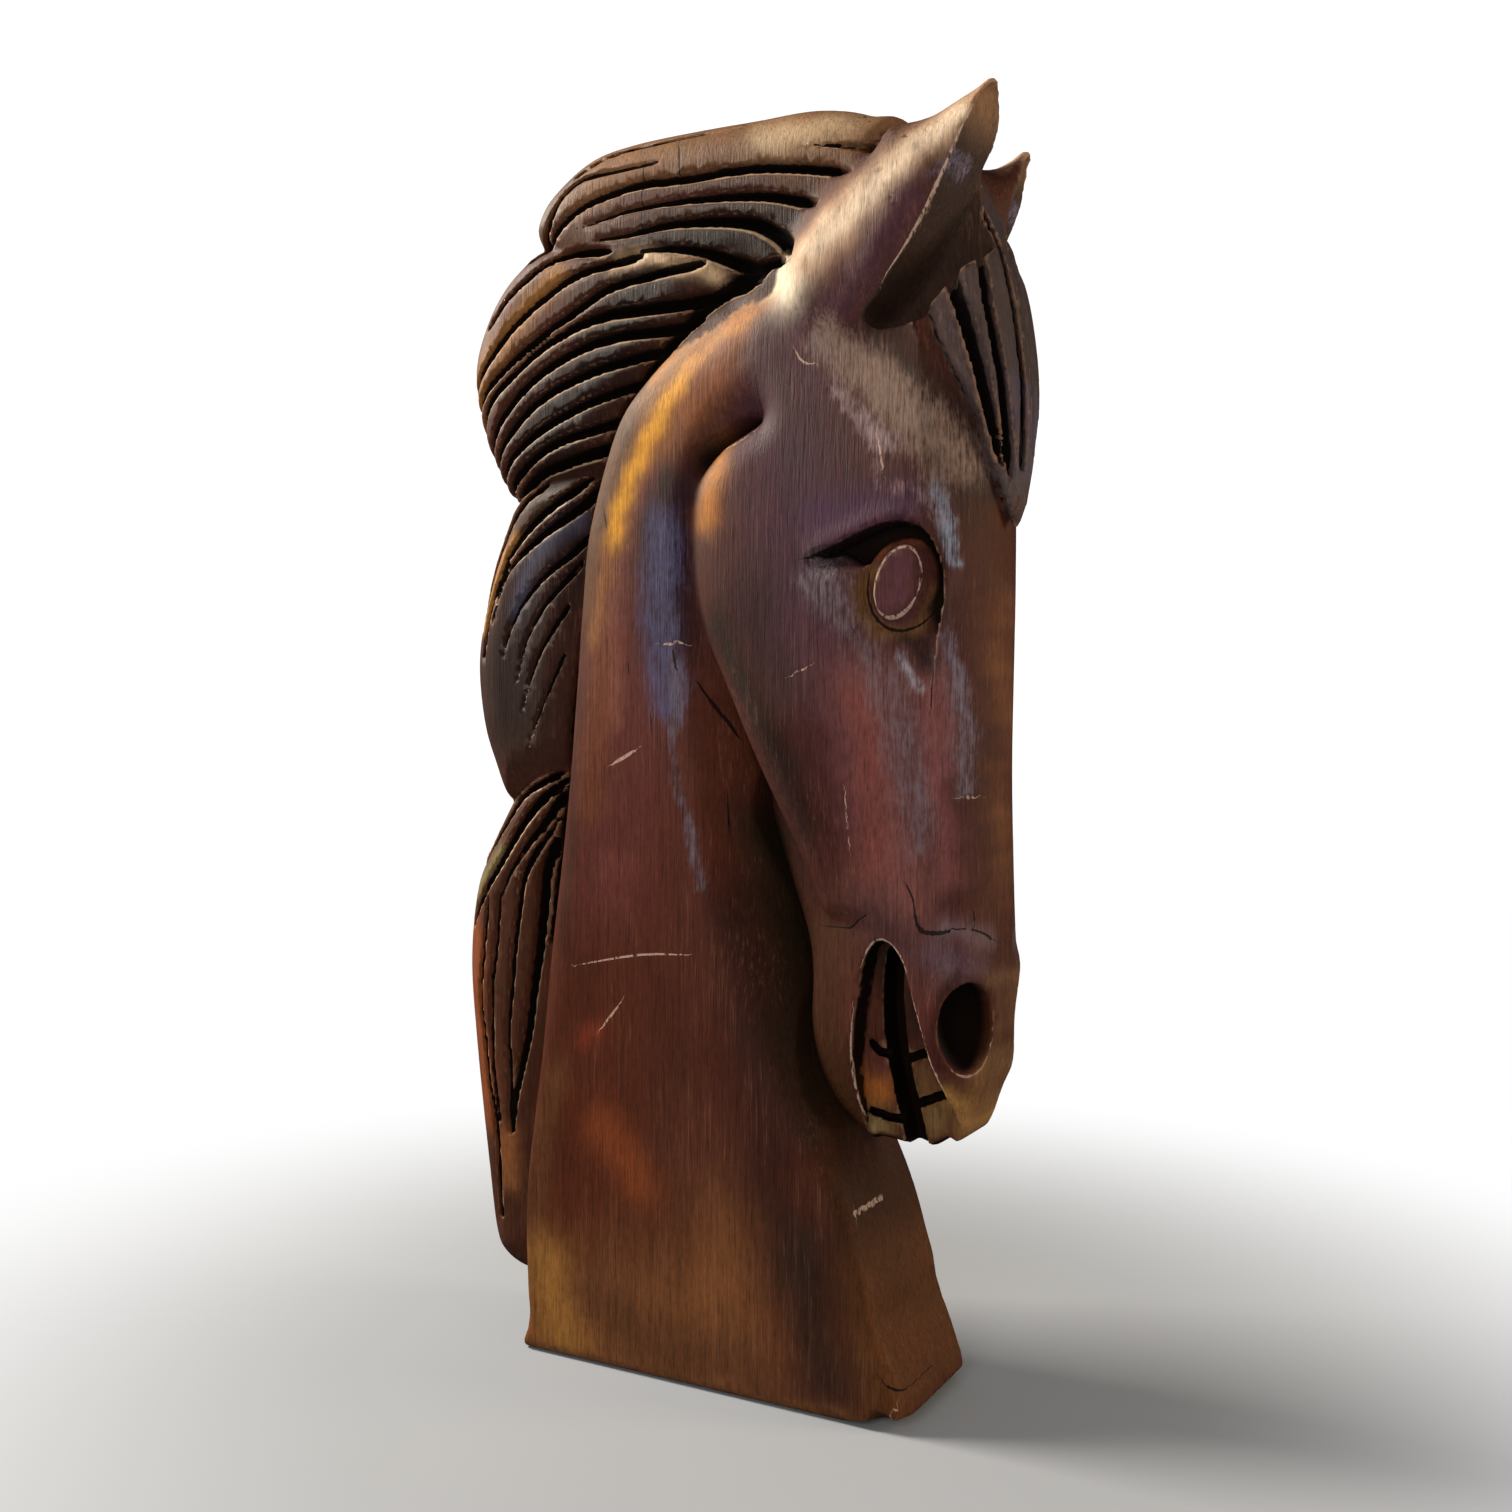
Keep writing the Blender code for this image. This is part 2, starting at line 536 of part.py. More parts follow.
def build():
    for thing in list(bpy.data.objects):
        bpy.data.objects.remove(thing, do_unlink=True)
    step = units(GRID_STEP)
    xs = np.arange(-278, 270, step)
    ys = np.arange(-90, 90 + step, step)
    zs = np.arange(-12, 1055 + step, step)
    x, z = np.meshgrid(xs, zs, indexing="ij")
    field = carved_head(x, ys, z)
    field[:, :, 0] = 1.0
    points, quads = surface(without_pinches(field), xs, ys, zs)
    mesh = bpy.data.meshes.new("carved_horse_head")
    mesh.from_pydata((points * UNIT).tolist(), [], quads.tolist())
    mesh.shade_smooth()
    mesh.materials.append(wood())
    carving = bpy.data.objects.new("carved_horse_head", mesh)
    bpy.context.collection.objects.link(carving)
    thin = carving.modifiers.new("fewer_faces", "DECIMATE")
    thin.ratio = TRIANGLES / (2 * len(quads))
    trim = carving.modifiers.new("flat_foot", "BOOLEAN")
    trim.operation = "DIFFERENCE"
    trim.object = below_the_floor()


build()
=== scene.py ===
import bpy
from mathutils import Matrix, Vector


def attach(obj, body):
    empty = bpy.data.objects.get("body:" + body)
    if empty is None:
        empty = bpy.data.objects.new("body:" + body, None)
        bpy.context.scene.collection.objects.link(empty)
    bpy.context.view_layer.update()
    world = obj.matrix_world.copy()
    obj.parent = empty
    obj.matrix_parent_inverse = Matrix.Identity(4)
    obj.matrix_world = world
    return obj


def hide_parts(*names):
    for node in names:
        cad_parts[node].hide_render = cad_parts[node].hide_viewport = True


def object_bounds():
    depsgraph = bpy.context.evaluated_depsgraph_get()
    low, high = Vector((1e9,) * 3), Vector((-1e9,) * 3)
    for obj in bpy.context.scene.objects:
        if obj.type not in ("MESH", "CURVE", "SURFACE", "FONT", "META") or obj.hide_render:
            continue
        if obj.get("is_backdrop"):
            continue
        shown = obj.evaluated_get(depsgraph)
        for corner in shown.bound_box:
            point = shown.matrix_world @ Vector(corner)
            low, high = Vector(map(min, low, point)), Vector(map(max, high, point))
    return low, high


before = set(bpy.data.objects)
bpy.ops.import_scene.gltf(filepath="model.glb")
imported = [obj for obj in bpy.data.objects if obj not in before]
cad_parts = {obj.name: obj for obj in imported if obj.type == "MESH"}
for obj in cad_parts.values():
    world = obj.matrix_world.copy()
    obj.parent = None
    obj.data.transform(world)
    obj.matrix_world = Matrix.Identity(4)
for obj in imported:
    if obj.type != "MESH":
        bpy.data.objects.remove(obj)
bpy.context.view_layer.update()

import math
import time

import bpy
import numpy as np

started = time.perf_counter()


def passed():
    """How long the script has run so far, in words."""
    return f"{time.perf_counter() - started:.0f} s in"


# %% [markdown]
# The photograph looks at the horse's right side from a little in front of it, from about half its
# height, with the camera held level. A lens of 35.7 mm on a 36 mm sensor gives that view without
# any shift. A level camera is easy to describe: it stands somewhere and turns about the upright axis.
# %% Place the camera
LENS, SENSOR = 35.714, 36.0
CAMERA_PLACE = (0.47005, -0.82872, 0.38377)
LEVEL, ROUND_TO_FRONT = math.radians(90.0), math.radians(29.0)


def add_object(name, data):
    """Puts a new object with this data into the scene."""
    made = bpy.data.objects.new(name, data)
    bpy.context.collection.objects.link(made)
    return made


lens = bpy.data.cameras.new("photograph_view")
lens.lens, lens.sensor_width, lens.clip_start = LENS, SENSOR, 0.05
camera = add_object("photograph_view", lens)
camera.location = CAMERA_PLACE
camera.rotation_euler = (LEVEL, 0.0, ROUND_TO_FRONT)
bpy.context.scene.camera = camera
print("camera stands at", tuple(round(v, 3) for v in camera.location))

# %% [markdown]
# The carving is drawn as seen from its right side, in drawing units: x runs forward to the nose, z
# runs up, and the origin is the centre of the foot. One unit is a fixed share of the height. The
# widths across the block, the wall of the ear, the gouge cuts and the depths of the carving are
# real sizes in metres, the same as those of the solid that the piece stands for.
# %% Name the sizes
HEIGHT = 0.785
BASE_LENGTH = 0.239
BASE_WIDTH = 0.102
CHEEK_WIDTH = 0.116
MUZZLE_WIDTH = 0.088
MANE_WIDTH = 0.086
EAR_SPREAD = 0.074
EAR_WIDTH = 0.0465
EAR_WALL = 0.0045
GROOVE_WIDTH = 0.0066
GROOVE_DEPTH = 0.0105
CREST_GROOVE_DEPTH = 0.0056
JAW_GAP = 0.007
EYE_SOCKET_DEPTH = 0.012
NOSTRIL_DEPTH = 0.030
MOUTH_DEPTH = 0.020
BITE_DEPTH = 0.040
CHEEK_HOLLOW_DEPTH = 0.011
BASE_CHIP = 0.009

DRAWN_HEIGHT = 1045.0
DRAWN_BASE_LENGTH = 318.0
UNIT = HEIGHT / DRAWN_HEIGHT

FOOT_TOP = 60.0
EYE_CENTRE = (174.0, 641.0)
EYE_HALF = (17.5, 26.0)
EYE_TURN = 0.20
NOSTRIL_CENTRE = (223.5, 50.0, 307.0)
NOSTRIL_TURN = 32.0
NOSTRIL_HALF = (23.3, 35.0)
EAR_WIDEST = 880.0
EAR_TOP = 1014.0
LEFT_EAR_LOWER = 18.0
LEFT_EAR_BACK = 8.0
TOOTH_GAP_HALF = 3.3
TOE_START = 132.0
TOE_RISE, TOE_LENGTH = 9.0, 35.0
CRISP, FILLET, SOFT = 2.0, 4.0, 5.0
print(f"one drawing unit is {UNIT * 1000:.4f} mm")


def units(metres):
    """A size in metres as drawing units."""
    return metres / UNIT


MUZZLE_HALF = units(MUZZLE_WIDTH) / 2
TEETH_HALF = MUZZLE_HALF - units(MOUTH_DEPTH)
GROOVE_HALF = units(GROOVE_WIDTH) / 2


# %% [markdown]
# The masses of the carving are closed outlines, and its cuts are open lines, all drawn with few
# points. A Catmull-Rom curve passes through every drawn point and bends smoothly between them, which
# is how a carver's template looks.
# %% Draw smooth curves through points
def smooth_curve(points, closed=False, steps=6):
    """Catmull-Rom: between points b and c, with neighbours a and d, the place at share t is
    half of 2b + (c - a)t + (2a - 5b + 4c - d)t² + (3b - a - 3c + d)t³."""
    p = np.asarray(points, float)
    if closed:
        before, after, after2 = np.roll(p, 1, 0), np.roll(p, -1, 0), np.roll(p, -2, 0)
    else:
        before = np.vstack([2 * p[0] - p[1], p[:-2]])
        after = p[1:]
        after2 = np.vstack([p[2:], 2 * p[-1] - p[-2]])
        p = p[:-1]
    t = (np.arange(steps) / steps)[None, :, None]
    a, b, c, d = (q[:, None, :] for q in (before, p, after, after2))
    curve = 0.5 * (2 * b + (c - a) * t + (2 * a - 5 * b + 4 * c - d) * t**2
                   + (3 * b - a - 3 * c + d) * t**3)
    curve = curve.reshape(-1, p.shape[1])
    return curve if closed else np.vstack([curve, points[-1]])


SQUARE = [(-10, -10), (10, -10), (10, 10), (-10, 10)]
print("a square of 4 points is drawn with", len(smooth_curve(SQUARE, closed=True)))


# %% [markdown]
# Everything else is measured as a distance from those curves. For each place of a map, the nearest
# segment of the curve gives how far away it is, how far along the curve its nearest point lies, and
# on which side the place is. A closed outline counts as negative inside, by the even-odd rule: a
# ray to the right crosses the outline an odd number of times from inside it.
# %% Measure distances to curves
def to_curve(curve, x, z):
    """Distance from each place to an open curve, the share of the way along it, and its side."""
    best = np.full(x.shape, 1e9)
    along = np.zeros(x.shape)
    side = np.zeros(x.shape)
    last = len(curve) - 1
    for i, ((ax, az), (bx, bz)) in enumerate(zip(curve[:-1], curve[1:])):
        dx, dz = bx - ax, bz - az
        share = np.clip(((x - ax) * dx + (z - az) * dz) / (dx * dx + dz * dz + 1e-12), 0, 1)
        offx, offz = x - ax - share * dx, z - az - share * dz
        distance = np.hypot(offx, offz)
        nearer = distance < best
        best = np.where(nearer, distance, best)
        along = np.where(nearer, (i + share) / last, along)
        side = np.where(nearer, np.sign(dx * offz - dz * offx), side)
    return best, along, side


def inside_outline(outline, x, z):
    """Signed distance to a closed outline, negative inside."""
    curve = smooth_curve(outline, closed=True)
    ring = np.vstack([curve, curve[:1]])
    distance, _, _ = to_curve(ring, x, z)
    crossings = np.zeros(x.shape, int)
    for (ax, az), (bx, bz) in zip(ring[:-1], ring[1:]):
        if az != bz:
            between = (az > z) != (bz > z)
            crossings += between & (x < ax + (z - az) * (bx - ax) / (bz - az))
    return np.where(crossings % 2 == 1, -distance, distance)


from_middle = inside_outline(SQUARE, np.zeros(1), np.zeros(1))[0]
print(f"the middle of that square lies {from_middle:.1f} from its outline")


# %% [markdown]
# The thickness of the face changes from place to place: broad at the cheek, narrow at the lips. A
# thin-plate spline is the natural map for that. It is the shape of a thin sheet pinned at a few
# known heights, so a handful of measured spots gives a smooth width everywhere.
# %% Spread measured values smoothly
def from_spots(spots, x, z):
    """The thin-plate map through values at spots (x, z, value): a plane plus a sum of r² log r."""
    spots = np.asarray(spots, float)
    here, value = spots[:, :2] / 100, spots[:, 2]

    def bend(squared):
        return 0.5 * squared * np.log(squared + 1e-9)

    gaps = ((here[:, None] - here[None]) ** 2).sum(-1)
    count = len(spots)
    plane = np.column_stack([np.ones(count), here])
    system = np.zeros((count + 3, count + 3))
    system[:count, :count] = bend(gaps)
    system[:count, count:] = plane
    system[count:, :count] = plane.T
    weight = np.linalg.solve(system, np.concatenate([value, np.zeros(3)]))
    out = weight[count] + weight[count + 1] * x / 100 + weight[count + 2] * z / 100
    for (sx, sz), w in zip(here, weight[:count]):
        out = out + w * bend((x / 100 - sx) ** 2 + (z / 100 - sz) ** 2)
    return np.clip(out, value.min(), value.max())


def ramp(value, start, end):
    """0 at start, 1 at end, and 3t² - 2t³ between."""
    t = np.clip((value - start) / (end - start), 0, 1)
    return t * t * (3 - 2 * t)


print("a quarter of the way up a ramp it has risen", ramp(0.25, 0, 1))


# %% [markdown]
# One block that is cut from all sides has holes, slots and undercuts, such as the gap between jaw
# and throat and the hollow of an ear. A surface that is unrolled from two parameters can't follow
# those. So the wood is described as a field instead: a number at every place of the block, negative
# in the wood, zero on its surface and positive in the air, about the distance to the surface.
# Joining two masses is then the smaller of their fields, and cutting is the larger.
# %% Join and cut masses
def join(a, b, blend):
    """The union of two fields, with a fillet: their minimum, less a quarter of blend times h²,
    where h falls from 1 where they are equal to 0 where they differ by blend."""
    h = np.maximum(blend - np.abs(a - b), 0) / blend
    return np.minimum(a, b) - h * h * (blend * 0.25)


def cut(a, b, blend):
    """Field a with the shape of field b taken out."""
    return -join(-a, b, blend)


def slab(outline_distance, half_width, round_in, round_out, y):
    """A mass cut to an outline, with elliptic edges: round_in along the side, round_out across it.

    With u = outline_distance / round_in + 1 and v = (|y| - half_width) / round_out + 1, both at least 0,
    the surface is where u² + v² = 1, and the field is divided by its slope there.
    """
    d, w, ri, ro = (np.broadcast_to(m, outline_distance.shape).astype(np.float32)[:, None, :]
                    for m in (outline_distance, half_width, round_in, round_out))
    u = np.maximum(d / ri + 1, 0)
    across = np.abs(y[None, :, None] if y.ndim == 1 else y).astype(np.float32)
    v = np.maximum((across - w) / ro + 1, 0)
    h = np.hypot(u, v)
    slope = np.hypot(u / ri, v / ro)
    return np.where(h > 1e-6, (h - 1) * h / np.maximum(slope, 1e-9), -np.minimum(ri, ro))


def spread(side_map):
    """A map seen from the side as a field, the same all the way across the block."""
    return side_map[:, None, :]


print("where two equal masses meet, a fillet of 4 stands out by", -join(0.0, 0.0, 4.0))


# %% [markdown]
# These are the outlines of the masses. The neck runs from its foot up the crest to the poll and down
# the throat. The mane falls behind it in four locks, the head hangs in front with its lower jaw set
# back, and a forelock lies down the forehead between the ears.
# %% Draw the outlines
NECK = [(-160, -30), (-174, 30), (-177, 130), (-165, 250), (-157, 354), (-142, 474), (-133, 570),
        (-127, 640), (-119, 705), (-93, 784), (-64, 826), (-28, 862), (24, 894), (110, 912), (160, 880),
        (140, 786), (85, 766), (32, 744), (18, 690), (32, 600), (46, 507), (62, 400), (85, 300),
        (107, 225), (130, 165), (144, 118), (153, 80), (161, -30)]
CREST_POINTS = 13
MANE = [
    [(165, 992), (132, 1017), (88, 1030), (33, 1033), (-25, 1036), (-85, 1037), (-127, 1032), (-162, 1014),
     (-184, 993), (-190, 966), (-160, 935), (-60, 880), (60, 830), (150, 850)],
    [(-100, 955), (-172, 963), (-209, 947), (-237, 919), (-256, 881), (-261, 850), (-256, 817), (-243, 780),
     (-216, 736), (-180, 732), (-120, 745), (-40, 740), (30, 790), (60, 880)],
    [(-150, 765), (-202, 752), (-229, 706), (-245, 662), (-257, 600), (-252, 544), (-239, 505), (-218, 468),
     (-180, 480), (-120, 500), (-80, 560), (-70, 700), (-90, 760)],
    [(-150, 515), (-198, 498), (-239, 438), (-258, 395), (-266, 330), (-260, 253), (-246, 146), (-236, 84),
     (-222, 62), (-196, 52), (-168, 60), (-130, 120), (-110, 300), (-100, 480)],
]
HEAD = [(25, 554), (0, 609), (-13, 667), (-11, 725), (12, 756), (38, 771), (50, 780), (42, 796),
        (24, 820), (42, 868), (95, 905), (150, 935), (200, 900), (224, 830), (233, 740), (234, 640),
        (233, 500), (234, 400), (233, 330), (231, 290), (225, 260), (218, 237), (211, 222), (206, 217),
        (200, 221), (192, 228), (184, 222), (176, 240), (160, 330), (135, 379), (106, 388), (80, 440),
        (53, 494)]
JAW = [(48, 500), (46, 468), (62, 420), (82, 372), (88, 340), (87, 301), (92, 268), (103, 240), (119, 221),
       (134, 210), (142, 212), (160, 210), (176, 207), (192, 214), (207, 229), (206, 262), (195, 300),
       (150, 420), (100, 520), (56, 545)]
JAW_BACK = JAW[:9]
FORELOCK = [(150, 990), (185, 992), (214, 955), (236, 893), (247, 838), (253, 790), (253, 745), (249, 704),
            (242, 686), (234, 701), (218, 736), (196, 768), (174, 803), (158, 843), (130, 890)]
FORELOCK_HALF = [(684, 8), (708, 28), (745, 46), (777, 57), (800, 62), (823, 67), (845, 70), (865, 71),
                 (950, 64)]
EAR = [(78, 870), (84, 904), (102, 930), (128, 952), (157, 972), (186, 986), (212, 998), (230, 1006),
       (241, 1012), (247, 1004), (248, 982), (239, 960), (221, 943), (200, 921), (182, 894), (167, 866),
       (152, 847), (128, 834), (94, 846)]
EAR_HOLLOW = [(241, 1007), (229, 975), (214, 945), (199, 918), (181, 889), (162, 862), (148, 849), (147, 840),
              (160, 834), (192, 840), (232, 880), (268, 935), (268, 990)]
MOUTH = [(153, 370), (162, 368), (170, 359), (175, 347), (180, 329), (188, 302), (195, 275), (203, 253),
         (209, 237), (209, 190), (150, 190), (136, 218), (131, 246), (129, 270), (131, 292), (135, 321),
         (140, 350), (145, 363)]
BITE = [(156, 356), (154, 330), (155, 304), (158, 280), (162, 260), (167, 240), (172, 220), (178, 196)]
TOOTH_GAPS = [[(136, 286), (142, 280), (157, 277)], [(136, 233), (150, 230), (167, 229)],
              [(167, 277), (184, 284)], [(174, 243), (184, 247), (198, 253)]]
EYE_CREASE = [(97, 662), (112, 666), (128, 671), (146, 678), (163, 684), (180, 685), (194, 679), (203, 666),
              (208, 648), (208, 625), (203, 600), (200, 573), (198, 545)]
EYE_PIT = [(126, 668), (143, 675), (157, 681), (173, 684), (168, 676), (157, 666), (150, 657), (144, 655),
           (136, 660)]
CREST_EDGE = [(70, 902), (34, 898), (12, 890), (-8, 879), (-24, 867), (-39, 854), (-54, 839), (-67, 823),
              (-80, 806), (-91, 789), (-100, 770), (-107, 750), (-112, 727), (-116, 702), (-119, 672),
              (-122, 642), (-129, 607), (-136, 558), (-142, 507), (-148, 456), (-155, 404), (-162, 352)]
print(f"{len(MANE)} locks of mane, and {len(HEAD)} points round the head")

# %% [markdown]
# Hair is cut with a vee gouge: long strokes that fan out along each lock, dark at the bottom, with a
# strand of wood left standing between two of them. Each stroke is a line in the drawing with its
# width where the tool goes in and where it comes out, as shares of the gouge's own width. A share
# near zero lets the stroke run out to a point.
# %% Draw the gouge strokes
MANE_STROKES = [
    # width where the tool goes in and where it comes out, line
    # the topmost lock
    (0.15, 0.45, [(36, 1024), (0, 1023), (-33, 1022), (-74, 1023), (-105, 1020), (-133, 1009)]),
    (1.00, 0.05, [(163, 971), (135, 980), (113, 985), (82, 992)]),
    (0.30, 0.70, [(-45, 1003), (-85, 1003), (-125, 1003), (-148, 991), (-160, 972), (-180, 950)]),
    (0.90, 0.65, [(131, 960), (87, 972), (38, 981), (-25, 984), (-64, 987), (-99, 984), (-126, 978),
                  (-148, 966), (-186, 946)]),
    (1.05, 0.10, [(100, 941), (63, 954), (26, 961), (-11, 965), (-44, 967), (-77, 967), (-110, 963),
                  (-132, 961)]),
    (1.60, 0.30, [(79, 907), (68, 921), (46, 935), (21, 942), (-13, 947), (-46, 949), (-76, 947),
                  (-106, 948)]),
    (1.50, 0.40, [(52, 896), (27, 908), (-4, 921), (-35, 929), (-64, 932)]),
    # the second lock
    (0.80, 0.60, [(-96, 937), (-134, 942), (-162, 938), (-183, 927), (-205, 914), (-228, 892)]),
    (0.90, 0.75, [(-63, 928), (-92, 927), (-125, 923), (-151, 914), (-178, 900), (-202, 884), (-222, 865),
                  (-250, 838)]),
    (1.00, 0.80, [(-4, 913), (-32, 912), (-65, 910), (-100, 905), (-129, 892), (-157, 880), (-186, 865),
                  (-216, 845), (-254, 816)]),
    (1.25, 0.80, [(48, 891), (15, 888), (-22, 884), (-61, 883), (-105, 883), (-141, 875), (-173, 862),
                  (-201, 844), (-223, 826), (-248, 794)]),
    (1.10, 0.80, [(-9, 868), (-38, 865), (-76, 864), (-114, 861), (-149, 851), (-178, 837), (-202, 818),
                  (-226, 790), (-240, 772)]),
    (1.00, 0.80, [(-49, 849), (-81, 843), (-119, 836), (-154, 826), (-181, 812), (-203, 793), (-232, 764)]),
    (0.95, 0.80, [(-65, 825), (-105, 815), (-135, 806), (-164, 795), (-191, 780), (-224, 752)]),
    (1.00, 0.80, [(-82, 797), (-117, 788), (-150, 781), (-177, 769), (-217, 742)]),
    (1.10, 0.90, [(-98, 774), (-116, 771), (-146, 764), (-174, 756), (-214, 732)]),
    # the third lock
    (0.90, 0.60, [(-167, 747), (-185, 736), (-199, 723), (-211, 706), (-224, 680), (-236, 650), (-244, 625)]),
    (1.15, 0.50, [(-125, 749), (-138, 738), (-156, 727), (-173, 716), (-191, 700), (-205, 683), (-216, 662),
                  (-228, 635), (-234, 600)]),
    (1.30, 0.30, [(-110, 748), (-121, 732), (-141, 717), (-162, 705), (-182, 692), (-202, 676), (-214, 655),
                  (-222, 630)]),
    (0.90, 0.15, [(-124, 699), (-140, 684), (-158, 671), (-176, 656), (-191, 639), (-202, 618), (-209, 598)]),
    (0.75, 0.10, [(-130, 678), (-144, 662), (-162, 643), (-176, 624), (-186, 603), (-193, 575)]),
    (0.65, 0.10, [(-142, 641), (-154, 623), (-169, 599), (-179, 576), (-188, 548)]),
    (0.45, 0.10, [(-146, 600), (-158, 572), (-170, 545), (-182, 515)]),
    # the lowest lock
    (0.90, 0.50, [(-155, 496), (-169, 488), (-192, 475), (-212, 451), (-238, 420), (-254, 396)]),
    (1.10, 0.60, [(-150, 490), (-176, 466), (-196, 441), (-214, 415), (-232, 390), (-250, 360)]),
    (1.20, 0.20, [(-147, 484), (-164, 456), (-182, 434), (-200, 410), (-210, 388)]),
    (0.35, 0.50, [(-225, 388), (-231, 335), (-235, 296), (-230, 262), (-225, 221), (-216, 182), (-212, 106)]),
    (0.35, 0.45, [(-212, 390), (-216, 342), (-221, 307), (-220, 267), (-220, 235), (-213, 190)]),
    (0.80, 0.30, [(-155, 456), (-176, 425), (-186, 405), (-190, 385), (-196, 344), (-199, 309), (-203, 268),
                  (-200, 237), (-201, 190)]),
    (1.20, 0.55, [(-157, 438), (-166, 413), (-169, 385), (-173, 350), (-179, 310), (-184, 270), (-191, 237),
                  (-197, 209), (-200, 182)]),
    # along the crest of the neck
    (1.50, 1.00, CREST_EDGE),
]
FORELOCK_FRONT = [(242, 686), (249, 704), (253, 745), (253, 790), (247, 838), (236, 893), (214, 955),
                  (185, 992)]
# width, and a line of how far round the forelock and how high
FORELOCK_STROKES = [
    (1.20, [(24, 925), (14, 900), (11, 852), (13, 812), (12, 775), (11, 725)]),
    (1.50, [(44, 925), (56, 885), (59, 845), (53, 810), (44, 775), (27, 722)]),
    (1.60, [(90, 915), (94, 873), (89, 842), (80, 812), (68, 779), (50, 748), (38, 728)]),
    (2.00, [(130, 880), (123, 845), (114, 818), (102, 794), (87, 770), (68, 750)]),
]
VEE_EDGE, CHAMFER_EDGE, CHAMFER_DEPTH = 1.08, 1.9, 0.10
NO_STROKE = 9.0


def to_stroke(stroke, x, z):
    """Distance from a gouge stroke, as a share of its half width there, its side, and that half
    width. Above or behind the stroke the side is negative, below or in front of it positive."""
    start, end, line = stroke
    distance, along, side = to_curve(smooth_curve(line, steps=4), x, z)
    swell = start + (end - start) * along
    half = GROOVE_HALF * np.maximum(swell * (0.55 + 0.45 * ramp(along, 0.0, 0.05)), 0.12)
    return distance / half, side, half


def vee(share):
    """The cut of a vee gouge with a rounded bottom: the root of 1.08 less the share, from 0 to 1."""
    return np.sqrt(np.clip(VEE_EDGE - share, 0, 1))


def gouged(strokes, x, z):
    """How deep the strokes go: a vee, half as deep again as it is wide, and on its lower side a
    shallow chamfer that catches the light."""
    depth = np.zeros(x.shape)
    for stroke in strokes:
        share, side, half = to_stroke(stroke, x, z)
        deepest = units(GROOVE_DEPTH) * np.minimum(half / GROOVE_HALF, 1.15)
        chamfer = CHAMFER_DEPTH * np.clip(CHAMFER_EDGE - share, 0, 1) * (side > 0)
        depth = np.maximum(depth, deepest * np.maximum(vee(share), chamfer) * (share < CHAMFER_EDGE))
    return depth


def forelock_share(x, y, z):
    """Distance from the nearest stroke of the forelock, as a share of its half width.

    How far round the forelock a place lies is counted across its front and then back along its side,
    |y| + front(z) - x, and each stroke gives that way round for every height.
    """
    ends = np.array(FORELOCK_FRONT, float)
    around = np.abs(y) + np.interp(z, ends[:, 1], ends[:, 0]) - x
    best = np.full(around.shape, NO_STROKE, np.float32)
    for width, line in FORELOCK_STROKES:
        ways, heights = np.array(line[::-1], float).T
        half = GROOVE_HALF * width * ramp(z, heights[-1] + 3, heights[-1] - 12)
        half = np.maximum(half * ramp(z, heights[0] - 6, heights[0] + 16), 0.3)
        best = np.minimum(best, np.abs(around - np.interp(z, heights, ways)) / half)
    return best


print("gouge strokes:", len(MANE_STROKES), "on the mane and", len(FORELOCK_STROKES),
      "on the forelock")

# %% [markdown]
# The neck is a thick board, left square at the foot as it was sawn, and rounded more and more
# towards the head. The locks of the mane are thinner boards behind it, each swelling out a little
# over the one below, so that a step shows between them.
# %% Shape the neck and the mane
def neck(x, y, z):
    """A slab between crest and throat, whose edge rounding grows with height and towards the front."""
    half = units(BASE_WIDTH) / 2
    stretch = units(BASE_LENGTH) / DRAWN_BASE_LENGTH
    foot = [(px * (1 + (stretch - 1) * (pz < FOOT_TOP)), pz) for px, pz in NECK]
    to_front = ramp(x, -90, 20)
    rising = ramp(z, 120, 420)
    worn = 7 + 6 * to_front + 10 * to_front * ramp(z, 70, 5)
    round_in = worn + (27 * (1 - to_front) + 52 * to_front) * rising
    round_out = worn + (15 * (1 - to_front) + 50 * to_front) * rising
    return slab(inside_outline(foot, x, z), half, round_in, round_out, y)


def mane(x, y, z):
    """Four locks one below the other, each a swelling slab, and the depth of the gouge strokes."""
    half = units(MANE_WIDTH) / 2
    locks = [slab(inside_outline(outline, x, z), half, 42.0, 44.0, y) for outline in MANE]
    field = locks[0]
    for lock in locks[1:]:
        field = join(field, lock, 3.0)
    return field, spread(gouged(MANE_STROKES, x, z).astype(np.float32))


def mane_edge(x, z):
    """The shallow dip in which the mane meets the crest of the neck."""
    distance, along, _ = to_curve(smooth_curve(NECK[1:CREST_POINTS]), x, z)
    depth = units(CREST_GROOVE_DEPTH) * ramp(along, 0.02, 0.2)
    return (depth * np.maximum(1 - distance / 36.0, 0) ** 1.5 * 1.5).astype(np.float32)


print(f"neck {units(BASE_WIDTH):.0f} and mane {units(MANE_WIDTH):.0f} units thick")


